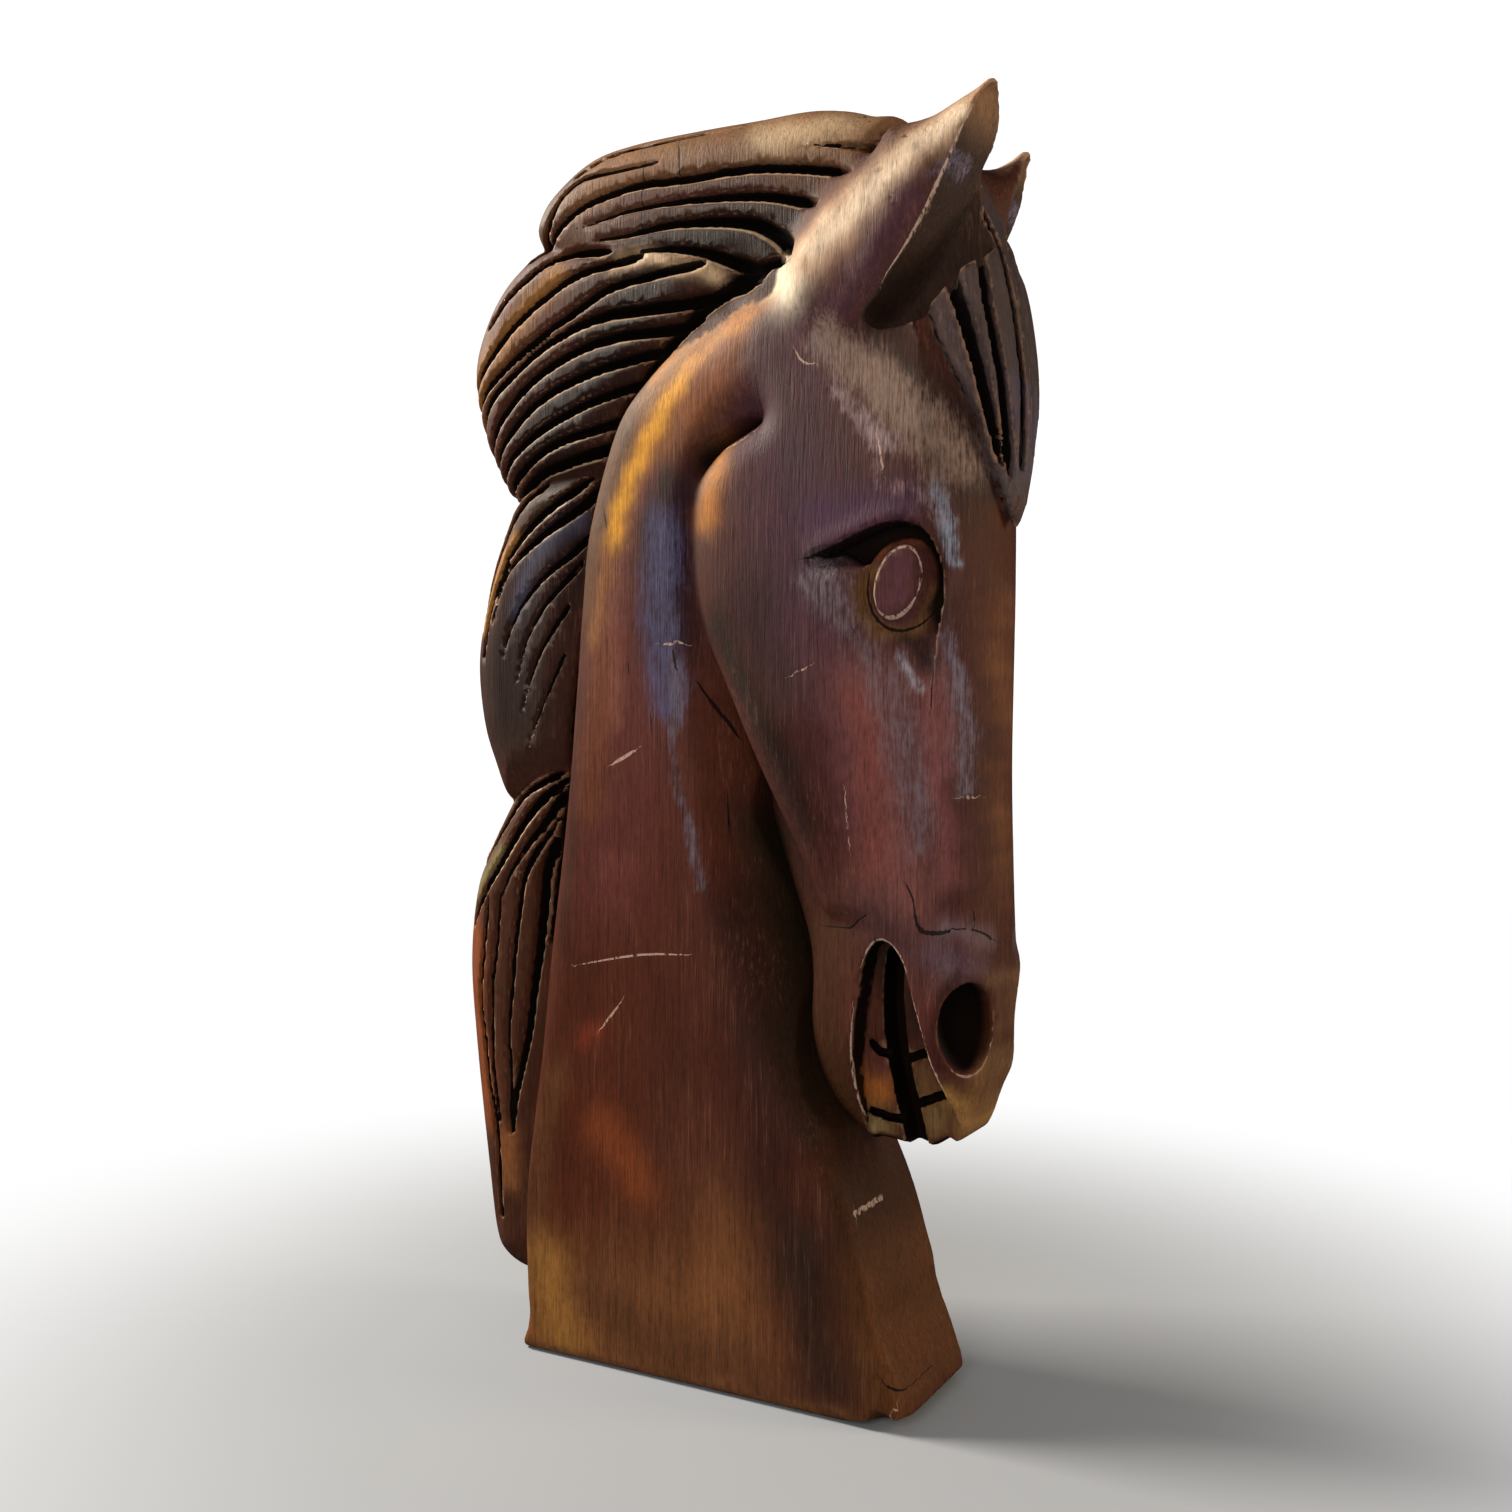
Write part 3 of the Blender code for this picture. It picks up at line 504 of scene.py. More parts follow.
# %% [markdown]
# The face is one long slab with a width at each place: 116 mm across the cheeks and 88 mm at the
# muzzle. Its back rim is cut crisply, so that the cheek stands up from the neck like a disc, and its
# front is well rounded. The lower jaw is a second, narrower slab, a step behind the face.
# %% Shape the head, the jaw and the forelock
# x, z and the share of the half width at the cheeks, or at the muzzle
CHEEK_SPOTS = [(60, 650, 1), (100, 560, 1), (60, 790, 0.93), (175, 720, 0.95), (0, 830, 0.84),
               (20, 870, 0.80), (90, 870, 0.86), (150, 810, 0.88), (200, 620, 0.88), (170, 480, 0.84),
               (110, 440, 0.86), (205, 500, 0.76)]
MUZZLE_SPOTS = [(200, 390, 0.95), (215, 310, 1), (160, 330, 1), (215, 240, 0.72)]
JAW_SPOTS = [(60, 500, 0.75), (70, 430, 0.76), (100, 385, 0.88), (120, 330, 0.98), (120, 280, 0.93),
             (140, 222, 0.66)]
# x, z, and the rounding along the side and across it
EDGE_SPOTS = [(230, 700, 40, 58), (232, 500, 34, 50), (232, 380, 28, 44), (232, 310, 22, 38),
              (215, 235, 16, 20), (-13, 690, 40, 24), (20, 570, 34, 26), (70, 450, 20, 22),
              (100, 390, 14, 14), (10, 830, 20, 14), (60, 880, 30, 30), (150, 930, 50, 50),
              (150, 330, 10, 10)]


def scaled(spots, half_width):
    """Spots with each share made a half width."""
    return [(spot_x, spot_z, half_width * share) for spot_x, spot_z, share in spots]


def head(x, y, z):
    """The face: a slab whose half width and edge roundings are thin-plate maps."""
    half = from_spots(scaled(CHEEK_SPOTS, units(CHEEK_WIDTH) / 2) + scaled(MUZZLE_SPOTS, MUZZLE_HALF), x, z)
    round_in, round_out = (from_spots([(*spot[:2], spot[i]) for spot in EDGE_SPOTS], x, z) for i in (2, 3))
    return slab(inside_outline(HEAD, x, z), half, round_in, round_out, y)


def jaw(x, y, z):
    """The lower jaw and lip, set back from the cheek."""
    half = from_spots(scaled(JAW_SPOTS, MUZZLE_HALF), x, z)
    return slab(inside_outline(JAW, x, z), half, 16.0, 20.0, y)


def forelock(x, y, z):
    """A tongue of hair down the forehead to a point, and the depth of its gouge strokes."""
    half = np.interp(z, *zip(*FORELOCK_HALF))
    field = slab(inside_outline(FORELOCK, x, z), half, 26.0, np.minimum(half, 50.0), y)
    depth = np.zeros_like(field)
    here = x[:, 0] > 100
    share = forelock_share(spread(x[here]), y[None, :, None], spread(z[here]))
    depth[here] = units(GROOVE_DEPTH) * vee(share)
    return field, depth


print(f"cheeks {units(CHEEK_WIDTH):.0f} and muzzle {units(MUZZLE_WIDTH):.0f} units across")


# %% [markdown]
# An ear is a leaf seen from the side, thick below and pointed above. It is scooped out from the front
# and from outside, so that the near rim lies in the middle of the leaf and the hollow beside it. The
# left ear of this horse was carved a little lower and further back than the right.
# %% Shape the ears
def ear(x, y, z, side):
    """One ear and its hollow: a slab about its own middle plane, as wide as a half ellipse is high."""
    centre = side * units(EAR_SPREAD) / 2
    up = z + (LEFT_EAR_LOWER if side > 0 else 0.0)
    x = x + (LEFT_EAR_BACK if side > 0 else 0.0)
    rounding = np.maximum(up - EAR_WIDEST, 0) / (EAR_TOP - EAR_WIDEST)
    oval = np.sqrt(np.clip(1 - rounding**2, 0, 1))
    half = 4 + (units(EAR_WIDTH) / 2 - 4) * oval - 11 * (1 - ramp(up, 830, EAR_WIDEST))
    body = slab(inside_outline(EAR, x, up), half, 22.0, half, y - centre)
    opened = 15.0 * ramp(up, EAR_TOP, 970)
    inner = np.maximum(half - units(EAR_WALL) + opened, 1.0)
    off_middle = y[None, :, None] - spread(centre + side * opened)
    return body, slab(inside_outline(EAR_HOLLOW, x, up), inner, 12.0, inner, off_middle)


print(f"ears {units(EAR_WIDTH):.0f} units wide, their middles {units(EAR_SPREAD):.0f} apart")


# %% [markdown]
# The eye is cut in, not built up. A long stroke from the temple over the eye and down its front marks
# the lid, the wood inside it is sunk into a socket, and an upright oval is left standing in that
# socket with a flat top and a bevelled rim.
# %% Carve the eye and the scoop behind the cheek
SOCKET_REACH, BROW_LIFT = (9.0, 31.0), 2.0
EYE_FOOT, BALL_TOP, BALL_SIDE, MOAT = (11.0, 10.0), 0.8, 0.95, 0.45
SCOOP_LINE, SCOOP_RADIUS = [(2.0, 750.0), (42.0, 774.0)], (17.0, 7.0)


def eye(x, z):
    """Depth cut round the eye: a socket that is deepest along the crease and fades away from it as
    exp(-(distance / reach)^1.5), a black pit behind the lid, a narrow moat round the ball, and the ball
    itself, level on top, with a side that slopes from the rim of its face down to its foot."""
    distance, along, side = to_curve(smooth_curve(EYE_CREASE), x, z)
    inner = side < 0
    strength = ramp(along, 0.0, 0.10) * (1 - ramp(along, 0.74, 1.0))
    depth = units(EYE_SOCKET_DEPTH)
    reach = SOCKET_REACH[0] + SOCKET_REACH[1] * ramp(along, 0.05, 0.5)
    socket = np.where(inner, depth * strength * np.exp(-(distance / reach) ** 1.5), 0)
    socket = np.maximum(socket, depth * ramp(inside_outline(EYE_PIT, x, z), 1.5, -1.5))
    brow = np.where(inner, 0, -BROW_LIFT * strength * np.exp(-((distance - 5.0) / 9.0) ** 2))
    off_x, off_z = x - EYE_CENTRE[0], z - EYE_CENTRE[1]
    top = np.hypot((off_x - EYE_TURN * off_z) / EYE_HALF[0], off_z / EYE_HALF[1]) - 1
    foot = np.hypot((off_x - 2.5 - 0.1 * off_z) / (EYE_HALF[0] + EYE_FOOT[0]),
                    off_z / (EYE_HALF[1] + EYE_FOOT[1])) - 1
    moat = depth * MOAT * np.exp(-(np.maximum(foot, 0) / 0.10) ** 2)
    ground = np.where(inner, np.maximum(socket, moat), 0)
    down = np.clip(top / np.maximum(top - foot, 1e-6), 0, 1)
    ball = np.minimum(BALL_TOP + depth * BALL_SIDE * down ** 1.2, np.maximum(ground, BALL_TOP))
    return (np.where(foot < 0, ball, ground) + brow).astype(np.float32)


def cheek_hollow(x, z):
    """The scoop that ends the valley behind the cheek."""
    distance, along, _ = to_curve(np.array(SCOOP_LINE), x, z)
    dip = np.maximum(1 - (distance / (SCOOP_RADIUS[0] - SCOOP_RADIUS[1] * along)) ** 2, 0)
    return (units(CHEEK_HOLLOW_DEPTH) * dip).astype(np.float32)


print(f"eye socket {units(EYE_SOCKET_DEPTH):.0f} and scoop {units(CHEEK_HOLLOW_DEPTH):.0f} units deep")


# %% [markdown]
# The nostrils are deep oval holes with a raised ring. The lips stand open: behind them the teeth are
# two flat bands set back from the lips, with a black slit for the bite and a saw nick between two
# teeth. Only the gap between jaw and throat goes right through the block.
# %% Carve the nostrils, the mouth, the jaw gap and the broken corner
def in_nostril(forward, outward, up):
    """A place in the nostril's own axes, turned outward by an angle: forward · cos - outward · sin and
    up, both as shares of its half sizes, and how far out it is, forward · sin + outward · cos."""
    turn = math.radians(NOSTRIL_TURN)
    across = forward * math.cos(turn) - outward * math.sin(turn)
    deep = forward * math.sin(turn) + outward * math.cos(turn)
    return across / NOSTRIL_HALF[0], up / NOSTRIL_HALF[1], deep


def nostril(x, y, z):
    """An oval hole turned outward, as a long half egg in its own axes, and the ring round it."""
    across, up, deep = in_nostril(spread((x - NOSTRIL_CENTRE[0]).astype(np.float32)),
                                  np.abs(y)[None, :, None] - NOSTRIL_CENTRE[1],
                                  spread((z - NOSTRIL_CENTRE[2]).astype(np.float32)))
    oval = np.hypot(across, up)
    hole = (np.hypot(oval, deep / units(NOSTRIL_DEPTH)) - 1) * NOSTRIL_HALF[0]
    ring = 3.0 * np.exp(-((oval - 1.25) / 0.28) ** 2) * (np.abs(deep) < 40)
    return hole, ring


def mouth(x, y, z):
    """The open lips, with the teeth set back between them and the dark slit of the bite."""
    def hole(side_map, reach_in):
        """A hole from each side: an outline's distance, down to so far from the middle plane."""
        return np.maximum(spread(side_map.astype(np.float32)), reach_in - np.abs(y)[None, :, None])

    lips = hole(inside_outline(MOUTH, x, z), TEETH_HALF)
    distance, along, _ = to_curve(smooth_curve(BITE), x, z)
    slit = hole(distance - (8.0 + 1.0 * ramp(along, 0, 0.3)), MUZZLE_HALF - units(BITE_DEPTH))
    gaps = np.minimum.reduce([to_curve(np.array(gap, float), x, z)[0] for gap in TOOTH_GAPS])
    return np.minimum(np.minimum(lips, slit), hole(gaps - TOOTH_GAP_HALF, TEETH_HALF - 10))


def jaw_gap(x, z):
    """The saw cut between the jaw and the throat: everything nearer to the jaw's back than the gap."""
    distance, _, _ = to_curve(smooth_curve(JAW_BACK), x, z)
    return (distance - units(JAW_GAP)).astype(np.float32)


def base_chip(x, y, z):
    """The corner broken off the foot, in front on the right, and the worn toe: a bevel that rises
    forward under the front of the foot."""
    front, right = units(BASE_LENGTH) / 2, -units(BASE_WIDTH) / 2
    flat = spread(x - front) ** 2 + (y - right)[None, :, None] ** 2
    corner = np.sqrt(flat + (0.8 * spread(z)) ** 2) - units(BASE_CHIP)
    toe = (z * TOE_LENGTH - (x - TOE_START) * TOE_RISE) / math.hypot(TOE_LENGTH, TOE_RISE)
    return np.minimum(corner, spread(toe)).astype(np.float32)


print(len(TOOTH_GAPS), "nicks between the teeth, and a bite", f"{units(BITE_DEPTH):.0f} units deep")


# %% [markdown]
# The order of work is a carver's: rough out neck and mane, saw the gap behind the jaw, set the head
# and forelock, raise the ears, and then cut the holes. The field is worked out on a grid of 1.5 mm
# cells, finer than the solid's, because the gouge strokes are only a few millimetres wide.
# %% Work out the whole field
EAR_FILLET, EAR_EDGE, FOOT_EDGE = 24.0, 1.5, 9.0
NO_HOLLOW = 50.0
FINE_STEP = 0.0015
GRID_BACK, GRID_FRONT, GRID_HALF, GRID_TOP = -278, 270, 89, 1055


def carved_head(x, y, z):
    """The finished field, the field as it was before the gouge, the drill and the scoop, the field of
    the hair alone and that of the two ear hollows. On the grid x and z are maps seen from the side,
    and y runs across."""
    locks, strokes_behind = mane(x, y, z)
    locks = locks + spread(mane_edge(x, z))
    body = neck(x, y, z)
    rough, field = join(body, locks, FILLET), join(body, locks + strokes_behind, FILLET)
    gap, chip = spread(jaw_gap(x, z)), base_chip(x, y, z)
    rough = cut(rough, gap, CRISP)
    field = cut(cut(field, gap, CRISP), chip, 1.0) + spread(cheek_hollow(x, z))
    face = join(head(x, y, z), jaw(x, y, z), FILLET)
    hole, ring = nostril(x, y, z)
    lock, strokes = forelock(x, y, z)
    rough = join(join(rough, face - ring, SOFT), lock, FILLET)
    field = join(join(field, face + spread(eye(x, z)) - ring, SOFT), lock + strokes, FILLET)
    hair = np.minimum(locks + strokes_behind, lock + strokes)
    hollows = np.full_like(field, NO_HOLLOW)
    for side in (-1, 1):
        leaf, scoop = ear(x, y, z, side)
        rough = join(rough, leaf, EAR_FILLET)
        field = cut(join(field, leaf, EAR_FILLET), scoop, EAR_EDGE)
        hollows = np.minimum(hollows, scoop)
    return cut(cut(field, hole, CRISP), mouth(x, y, z), CRISP), rough, hair, hollows


step = units(FINE_STEP)
xs = np.arange(GRID_BACK, GRID_FRONT, step, dtype=np.float32)
ys = np.arange(-GRID_HALF, GRID_HALF + step, step, dtype=np.float32)
zs = np.arange(-3 * step, GRID_TOP + step, step, dtype=np.float32)
side_x, side_z = np.meshgrid(xs.astype(float), zs.astype(float), indexing="ij")
field, rough_field, hair_field, hollow_field = (
    whole.astype(np.float32) for whole in carved_head(side_x, ys, side_z))
above_floor = spread(side_z.astype(np.float32))
field = np.maximum(cut(field, above_floor, FOOT_EDGE), -above_floor)
print(f"field of {field.shape} places, {passed()}")

# %% [markdown]
# Surface nets turn the field into a mesh. Every cell of the grid that the surface passes through gets
# one point, the mean of the places where the cell's edges cross zero, and every grid edge that
# crosses zero gets a face between its four cells. Before that, corners of the grid that would make
# the surface touch itself along an edge are filled, because a solid must have a simple skin.
# %% Turn the field into points and faces
CELL_CORNERS = [(i, j, k) for i in (0, 1) for j in (0, 1) for k in (0, 1)]
PINCH_ROUNDS = 40


def shifted(whole, by):
    """The part of a grid that starts a step further on, as large as a grid of whole cells."""
    return whole[tuple(slice(i, n - 1 + i) for i, n in zip(by, whole.shape))]


def without_pinches(field):
    """Fills grid corners until no two solid corners meet only across a face or a cell."""
    pairs = [(c, d) for c in CELL_CORNERS for d in CELL_CORNERS
             if c < d and sum(p != q for p, q in zip(c, d)) > 1]
    for _ in range(PINCH_ROUNDS):
        solid = field < 0
        fill = np.zeros(field.shape, bool)
        for first, second in pairs:
            box = [c for c in CELL_CORNERS if all(q in (a, b) for q, a, b in zip(c, first, second))]
            others = [c for c in box if c not in (first, second)]
            both = shifted(solid, first) & shifted(solid, second)
            apart = both & ~np.logical_or.reduce([shifted(solid, c) for c in others])
            for c in others:
                view = shifted(fill, c)
                view |= apart
            if len(others) > 2:
                joined = ~shifted(solid, first) & ~shifted(solid, second)
                joined &= np.logical_and.reduce([shifted(solid, c) for c in others])
                view = shifted(fill, first)
                view |= joined
        if not fill.any():
            return field
        field = np.where(fill & ~solid, -0.3 * field - 0.02, field)
    return field


def surface(field):
    """Surface nets: points as grid places, and quads whose corners are numbers of points."""
    solid = field < 0
    cells = tuple(n - 1 for n in field.shape)
    inside = sum(shifted(solid, c).astype(np.int8) for c in CELL_CORNERS)
    active = (inside > 0) & (inside < 8)
    number = np.full(cells, -1, np.int32)
    number[active] = np.arange(active.sum())
    at = np.argwhere(active)
    total = np.zeros((len(at), 3))
    count = np.zeros(len(at))
    for axis in range(3):
        for p, q in ((0, 0), (0, 1), (1, 0), (1, 1)):
            first = np.zeros(3, int)
            first[(axis + 1) % 3], first[(axis + 2) % 3] = p, q
            second = first.copy()
            second[axis] = 1
            a, b = field[tuple((at + first).T)], field[tuple((at + second).T)]
            crosses = (a < 0) != (b < 0)
            point = (at + first).astype(float)
            point[:, axis] += np.where(crosses, a / np.where(crosses, a - b, 1), 0)
            total += point * crosses[:, None]
            count += crosses
    quads = []
    for axis in range(3):
        u, v = (axis + 1) % 3, (axis + 2) % 3
        low, high = [slice(None)] * 3, [slice(None)] * 3
        low[axis], high[axis] = slice(0, -1), slice(1, None)
        for other in (u, v):
            low[other] = high[other] = slice(1, -1)
        a, b = solid[tuple(low)], solid[tuple(high)]
        edge = np.argwhere(a != b)
        leaving = a[tuple(edge.T)]
        edge[:, u] += 1
        edge[:, v] += 1
        ring = []
        for du, dv in ((0, 0), (1, 0), (1, 1), (0, 1)):
            cell = edge.copy()
            cell[:, u] -= 1 - du
            cell[:, v] -= 1 - dv
            ring.append(number[tuple(cell.T)])
        ring = np.column_stack(ring)
        ring[~leaving] = ring[~leaving][:, ::-1]
        quads.append(ring)
    return total / count[:, None], np.vstack(quads)


field = without_pinches(field)
grid_points, quads = surface(field)
print(f"{len(grid_points)} points and {len(quads)} quads, {passed()}")

# %% [markdown]
# A million triangles are more than a piece should have, and most of them lie on smooth places. The
# Decimate modifier joins those first and keeps the small ones in the gouge cuts. The points are shaken
# a little beforehand, so that flat places keep triangles too, for the paint to be stored on. Every
# point is then moved onto the zero of the field along the field's slope, and that slope also gives
# the direction that the surface faces, which hides the triangles in the smooth places.
# %% Thin the mesh and settle it on the field
TRIANGLES = 196000
SHAKE = 0.16
LONGEST_MOVE = 0.35
grid_step = np.array([xs[1] - xs[0], ys[1] - ys[0], zs[1] - zs[0]], float)
grid_start = np.array([xs[0], ys[0], zs[0]], float)


def sampled(values, places):
    """The grid's value at places in drawing units: a mean of the cell's eight corners, each weighted
    by the share of the cell on the far side of the place."""
    at = (places - grid_start) / grid_step
    low = np.clip(np.floor(at).astype(int), 0, np.array(values.shape) - 2)
    share = np.clip(at - low, 0, 1)
    out = np.zeros(len(places))
    for corner in CELL_CORNERS:
        weight = np.prod(np.where(corner, share, 1 - share), axis=1)
        out += weight * values[tuple((low + corner).T)]
    return out


def slope(values, places, reach):
    """The field's slope from its values at reach before and after each place, along each axis."""
    out = np.zeros_like(places)
    for axis in range(3):
        off = np.zeros(3)
        off[axis] = reach
        out[:, axis] = (sampled(values, places + off) - sampled(values, places - off)) / (2 * reach)
    return out


rough = bpy.data.meshes.new("rough_carving")
shake = np.random.default_rng(5).normal(0, SHAKE, grid_points.shape)
shaken = grid_start + grid_points * grid_step + shake
rough.from_pydata((shaken * UNIT).tolist(), [], quads.tolist())
carving = add_object("carved_wood_horse", rough)
thin = carving.modifiers.new("fewer_faces", "DECIMATE")
thin.ratio = TRIANGLES / (2 * len(quads))
thinned = carving.evaluated_get(bpy.context.evaluated_depsgraph_get())
mesh = bpy.data.meshes.new_from_object(thinned)
carving.modifiers.clear()
carving.data = mesh
mesh.name = "carved_wood_horse"
bpy.data.meshes.remove(rough)

places = np.empty(len(mesh.vertices) * 3, np.float32)
mesh.vertices.foreach_get("co", places)
places = places.reshape(-1, 3).astype(float) / UNIT
for _ in range(3):
    lean = slope(field, places, 0.6)
    steep = np.maximum((lean**2).sum(1), 0.15)
    move = -(sampled(field, places) / steep)[:, None] * lean
    reach = np.linalg.norm(move, axis=1, keepdims=True)
    places += move * np.minimum(1, LONGEST_MOVE / np.maximum(reach, 1e-9))
places[:, 2] = np.maximum(places[:, 2], 0)
mesh.vertices.foreach_set("co", (places * UNIT).astype(np.float32).ravel())
mesh.shade_smooth()
facing = slope(field, places, 1.3)
facing /= np.maximum(np.linalg.norm(facing, axis=1, keepdims=True), 1e-9)
mesh.normals_split_custom_set_from_vertices(facing.tolist())
mesh.update()
ends = np.empty(len(mesh.edges) * 2, np.int32)
mesh.edges.foreach_get("vertices", ends)
lengths = np.linalg.norm(places[ends[0::2]] - places[ends[1::2]], axis=1) * UNIT * 1000
print(f"{len(mesh.polygons)} triangles, edges of {np.percentile(lengths, [1, 50, 99]).round(1)} mm,",
      passed())

# %% [markdown]
# Old stained wood is palest where it is rubbed. The material also paints pale edges as highlights, and
# darkens grooves and hollows as painted shade. Both follow from the shape: the share of wood in a small
# ball round a point of the surface is one half on a flat place, more in a groove and less on an edge.
# A box average of the solid, taken twice, is close to such a ball, and each point of the mesh keeps
# its value as an attribute that the material reads. A second attribute is the depth below the wood as
# it was before the fine cuts, which the material turns into painted shade in the deep cuts.
# %% Measure grooves and edges for the stain
def ball_share(values, reach):
    """A box average along each axis in turn, twice: the mean of the running sums 2 reach + 1 apart."""
    width = 2 * reach + 1
    for _ in range(2):
        for axis in range(3):
            margins = [(reach + 1, reach) if i == axis else (0, 0) for i in range(3)]
            sums = np.cumsum(np.pad(values, margins, "edge"), axis=axis, dtype=np.float32)
            ahead = np.take(sums, range(width, sums.shape[axis]), axis=axis)
            behind = np.take(sums, range(0, sums.shape[axis] - width), axis=axis)
            values = (ahead - behind) / width
    return values


def keep(name, values):
    """Stores one number for each point of the mesh."""
    attribute = mesh.attributes.new(name, "FLOAT", "POINT")
    attribute.data.foreach_set("value", np.asarray(values, np.float32))


BESIDE = 20.0
MOUTH_TOP, LIP_END = 374.0, 200.0
EARS_FROM, EARS_BEHIND, HOLLOWS_BEHIND = 828.0, 130.0, 138.0
ROUND_EYE, DEEPEST = 75.0, 60.0

wood_share = np.clip(0.5 - field / (2 * step), 0, 1).astype(np.float32)
close = sampled(ball_share(wood_share, 1), places)
keep("close", close)
x, y, z = places.T
off_middle = np.abs(y)
below = np.clip(-sampled(rough_field, places), 0, DEEPEST)
at_ears = (z > EARS_FROM) & (x > EARS_BEHIND)
at_hollows = at_ears & (x > HOLLOWS_BEHIND) & (off_middle > BESIDE)
ear_hollow = ramp(sampled(hollow_field, places), 1.8, 0.6) * at_hollows
in_hair = (sampled(hair_field, places) < 1.0) & (ear_hollow < 0.5)
near_eye = np.hypot(x - EYE_CENTRE[0], z - EYE_CENTRE[1]) < ROUND_EYE
# how deep each point lies, which the material turns into painted shade: round the eye only below 9 units, a
# fixed darkness on the inner lip walls and in the bite, and none on the ears
sunk = np.where(near_eye, 3 * np.maximum(below - 9, 0), below)
teeth = TEETH_HALF - off_middle
open_mouth = (inside_outline(MOUTH, x, z) < 1.6) & (z < MOUTH_TOP)
in_mouth = open_mouth & (teeth < 1) & (sunk > 1)
in_bite = open_mouth & (teeth >= 1) & (x < LIP_END)
sunk = np.where(in_mouth, np.where(teeth < -2, 13, 0), np.where(in_bite, 9 * teeth, sunk))
keep("sunk", np.clip(np.where(at_ears, 0, sunk), 0, DEEPEST))
print("share of wood close by:", np.percentile(close, [2, 50, 98]).round(2))

# %% [markdown]
# Between the strands the grooves are painted near black as painted shadow, and the lower lip of each
# stroke is painted pale as a painted highlight. Both are lines only a millimetre or two wide, narrower
# than the mesh is fine. So the points keep the distance from the nearest stroke instead of a colour: a
# distance changes evenly across a triangle, and the material can draw a crisp line at any value of it.
# Cracks and scratches are kept the same way, with their side as a sign and the plain distance to leave
# out places between two marks, and so are painted shade lines and painted highlight lines.
# %% Keep distances to strokes, cracks, scratches and painted light and shade lines
DARK_MARKS = [
    # half width, line
    (0.9, [(103, 378), (118, 378), (129, 378), (134, 383), (142, 388), (149, 393)]),
    (2.0, [(182, 400), (183, 389), (188, 379), (199, 378), (210, 380), (213, 384)]),
    (0.9, [(224, 396), (225, 385)]), (0.8, [(212, 381), (222, 382), (230, 377), (233, 369)]),
    (0.8, [(175, 417), (181, 404), (183, 396)]), (0.5, [(50, 862), (52, 805), (53, 751), (51, 709)]),
    (0.5, [(135, 753), (135, 700)]), (1.3, [(-31, 1018), (-26, 1003), (-26, 984)]),
    (0.7, [(-26, 984), (-26, 962)]), (0.9, [(-60, 1010), (-62, 981), (-63, 950)]),
    (1.5, [(-25, 599), (-24, 590), (-21, 577)]), (1.0, [(-69, 590), (-68, 574)]),
    (0.8, [(-47, 550), (-46, 528)]), (1.6, [(-5, 572), (6, 555), (20, 535), (26, 524)]),
    (1.0, [(81, 899), (63, 896), (55, 891)]), (0.9, [(-96, 720), (-90, 700)]),
    (0.8, [(20, 480), (22, 452)]), (0.8, [(-30, 1036), (40, 1034), (90, 1024)]),
    (1.1, [(159, 40), (166, 33), (174, 30)]),
    # painted shade lines along the lid of the eye and the end of the lip
    (1.8, EYE_CREASE[:7]), (1.8, EYE_CREASE[5:]), (1.5, [(186, 226), (194, 230), (203, 236)]),
]
LIGHT_MARKS = [
    (1.2, [(-38, 603), (-28, 602), (-22, 604), (-13, 601)]), (1.6, [(-87, 503), (-60, 517)]),
    (0.9, [(-123, 334), (-58, 347), (-9, 350)]), (1.0, [(-98, 281), (-75, 308)]),
    (0.7, [(87, 573), (105, 580)]), (1.3, [(217, 480), (224, 480)]), (0.9, [(133, 155), (131, 161)]),
    (0.7, [(130, 485), (132, 439)]), (0.9, [(159, 752), (162, 735), (165, 722)]),
    (1.0, [(88, 826), (94, 816), (104, 813)]), (1.2, [(8, 756), (30, 760), (48, 770)]),
    (0.6, [(170, 12), (170, 22)]), (0.6, [(166, 8), (167, 16)]),
    # painted highlight lines along the lips and the rim of the ear
    (1.0, [(138, 350), (144, 364), (153, 371), (162, 369), (171, 360), (176, 348)]),
    (0.8, [(132, 318), (129, 292), (128, 268), (130, 244), (135, 224)]),
    (0.7, [(181, 329), (189, 302), (196, 276), (205, 254)]), (0.5, [(204, 252), (203, 243), (207, 233)]),
    (0.8, [(239, 1000), (227, 973), (212, 944), (198, 918), (180, 889), (163, 865)]),
]
MARK_LIMIT, NO_MARK = 40, 99.0
RING_REACH, RING_BACK = 90.0, -25.0


def round_eye(start, end, grown, shift, lean):
    """Part of an ellipse round the eye, from one angle to another: its half sizes are the eye's with
    so much added, its middle is shifted forward, and its top leans forward."""
    rim = np.linspace(start, end, 9)
    return np.column_stack([
        EYE_CENTRE[0] + shift + (EYE_HALF[0] + grown[0]) * np.cos(rim) + lean * np.sin(rim),
        EYE_CENTRE[1] + (EYE_HALF[1] + grown[1]) * np.sin(rim)])


# painted highlights round the rim of the eyeball's face
for start, end, half in ((0.7, 3.9, 1.5), (3.6, 5.9, 1.3), (5.9, 7.0, 0.7)):
    LIGHT_MARKS.append((half, round_eye(start, end, (0.5, 0.5), 0, EYE_TURN * EYE_HALF[1])))
# a painted shade line round the foot of the eyeball
DARK_MARKS.append((1.4, round_eye(2.9, 5.7, EYE_FOOT, 3, 3)))


def nearest_mark(marks):
    """The signed share of its half width from the nearest mark, and the distance from it."""
    best, signed = np.full(len(x), NO_MARK), np.full(len(x), NO_MARK)
    for half, line in marks:
        distance, along, side = to_curve(smooth_curve(line, steps=3), x, z)
        width = half * (1.05 - 0.8 * np.abs(2 * along - 1) ** 2)
        nearer = distance < best
        best = np.where(nearer, distance, best)
        signed = np.where(nearer, side * distance / width, signed)
    return np.clip(signed, -MARK_LIMIT, MARK_LIMIT), best
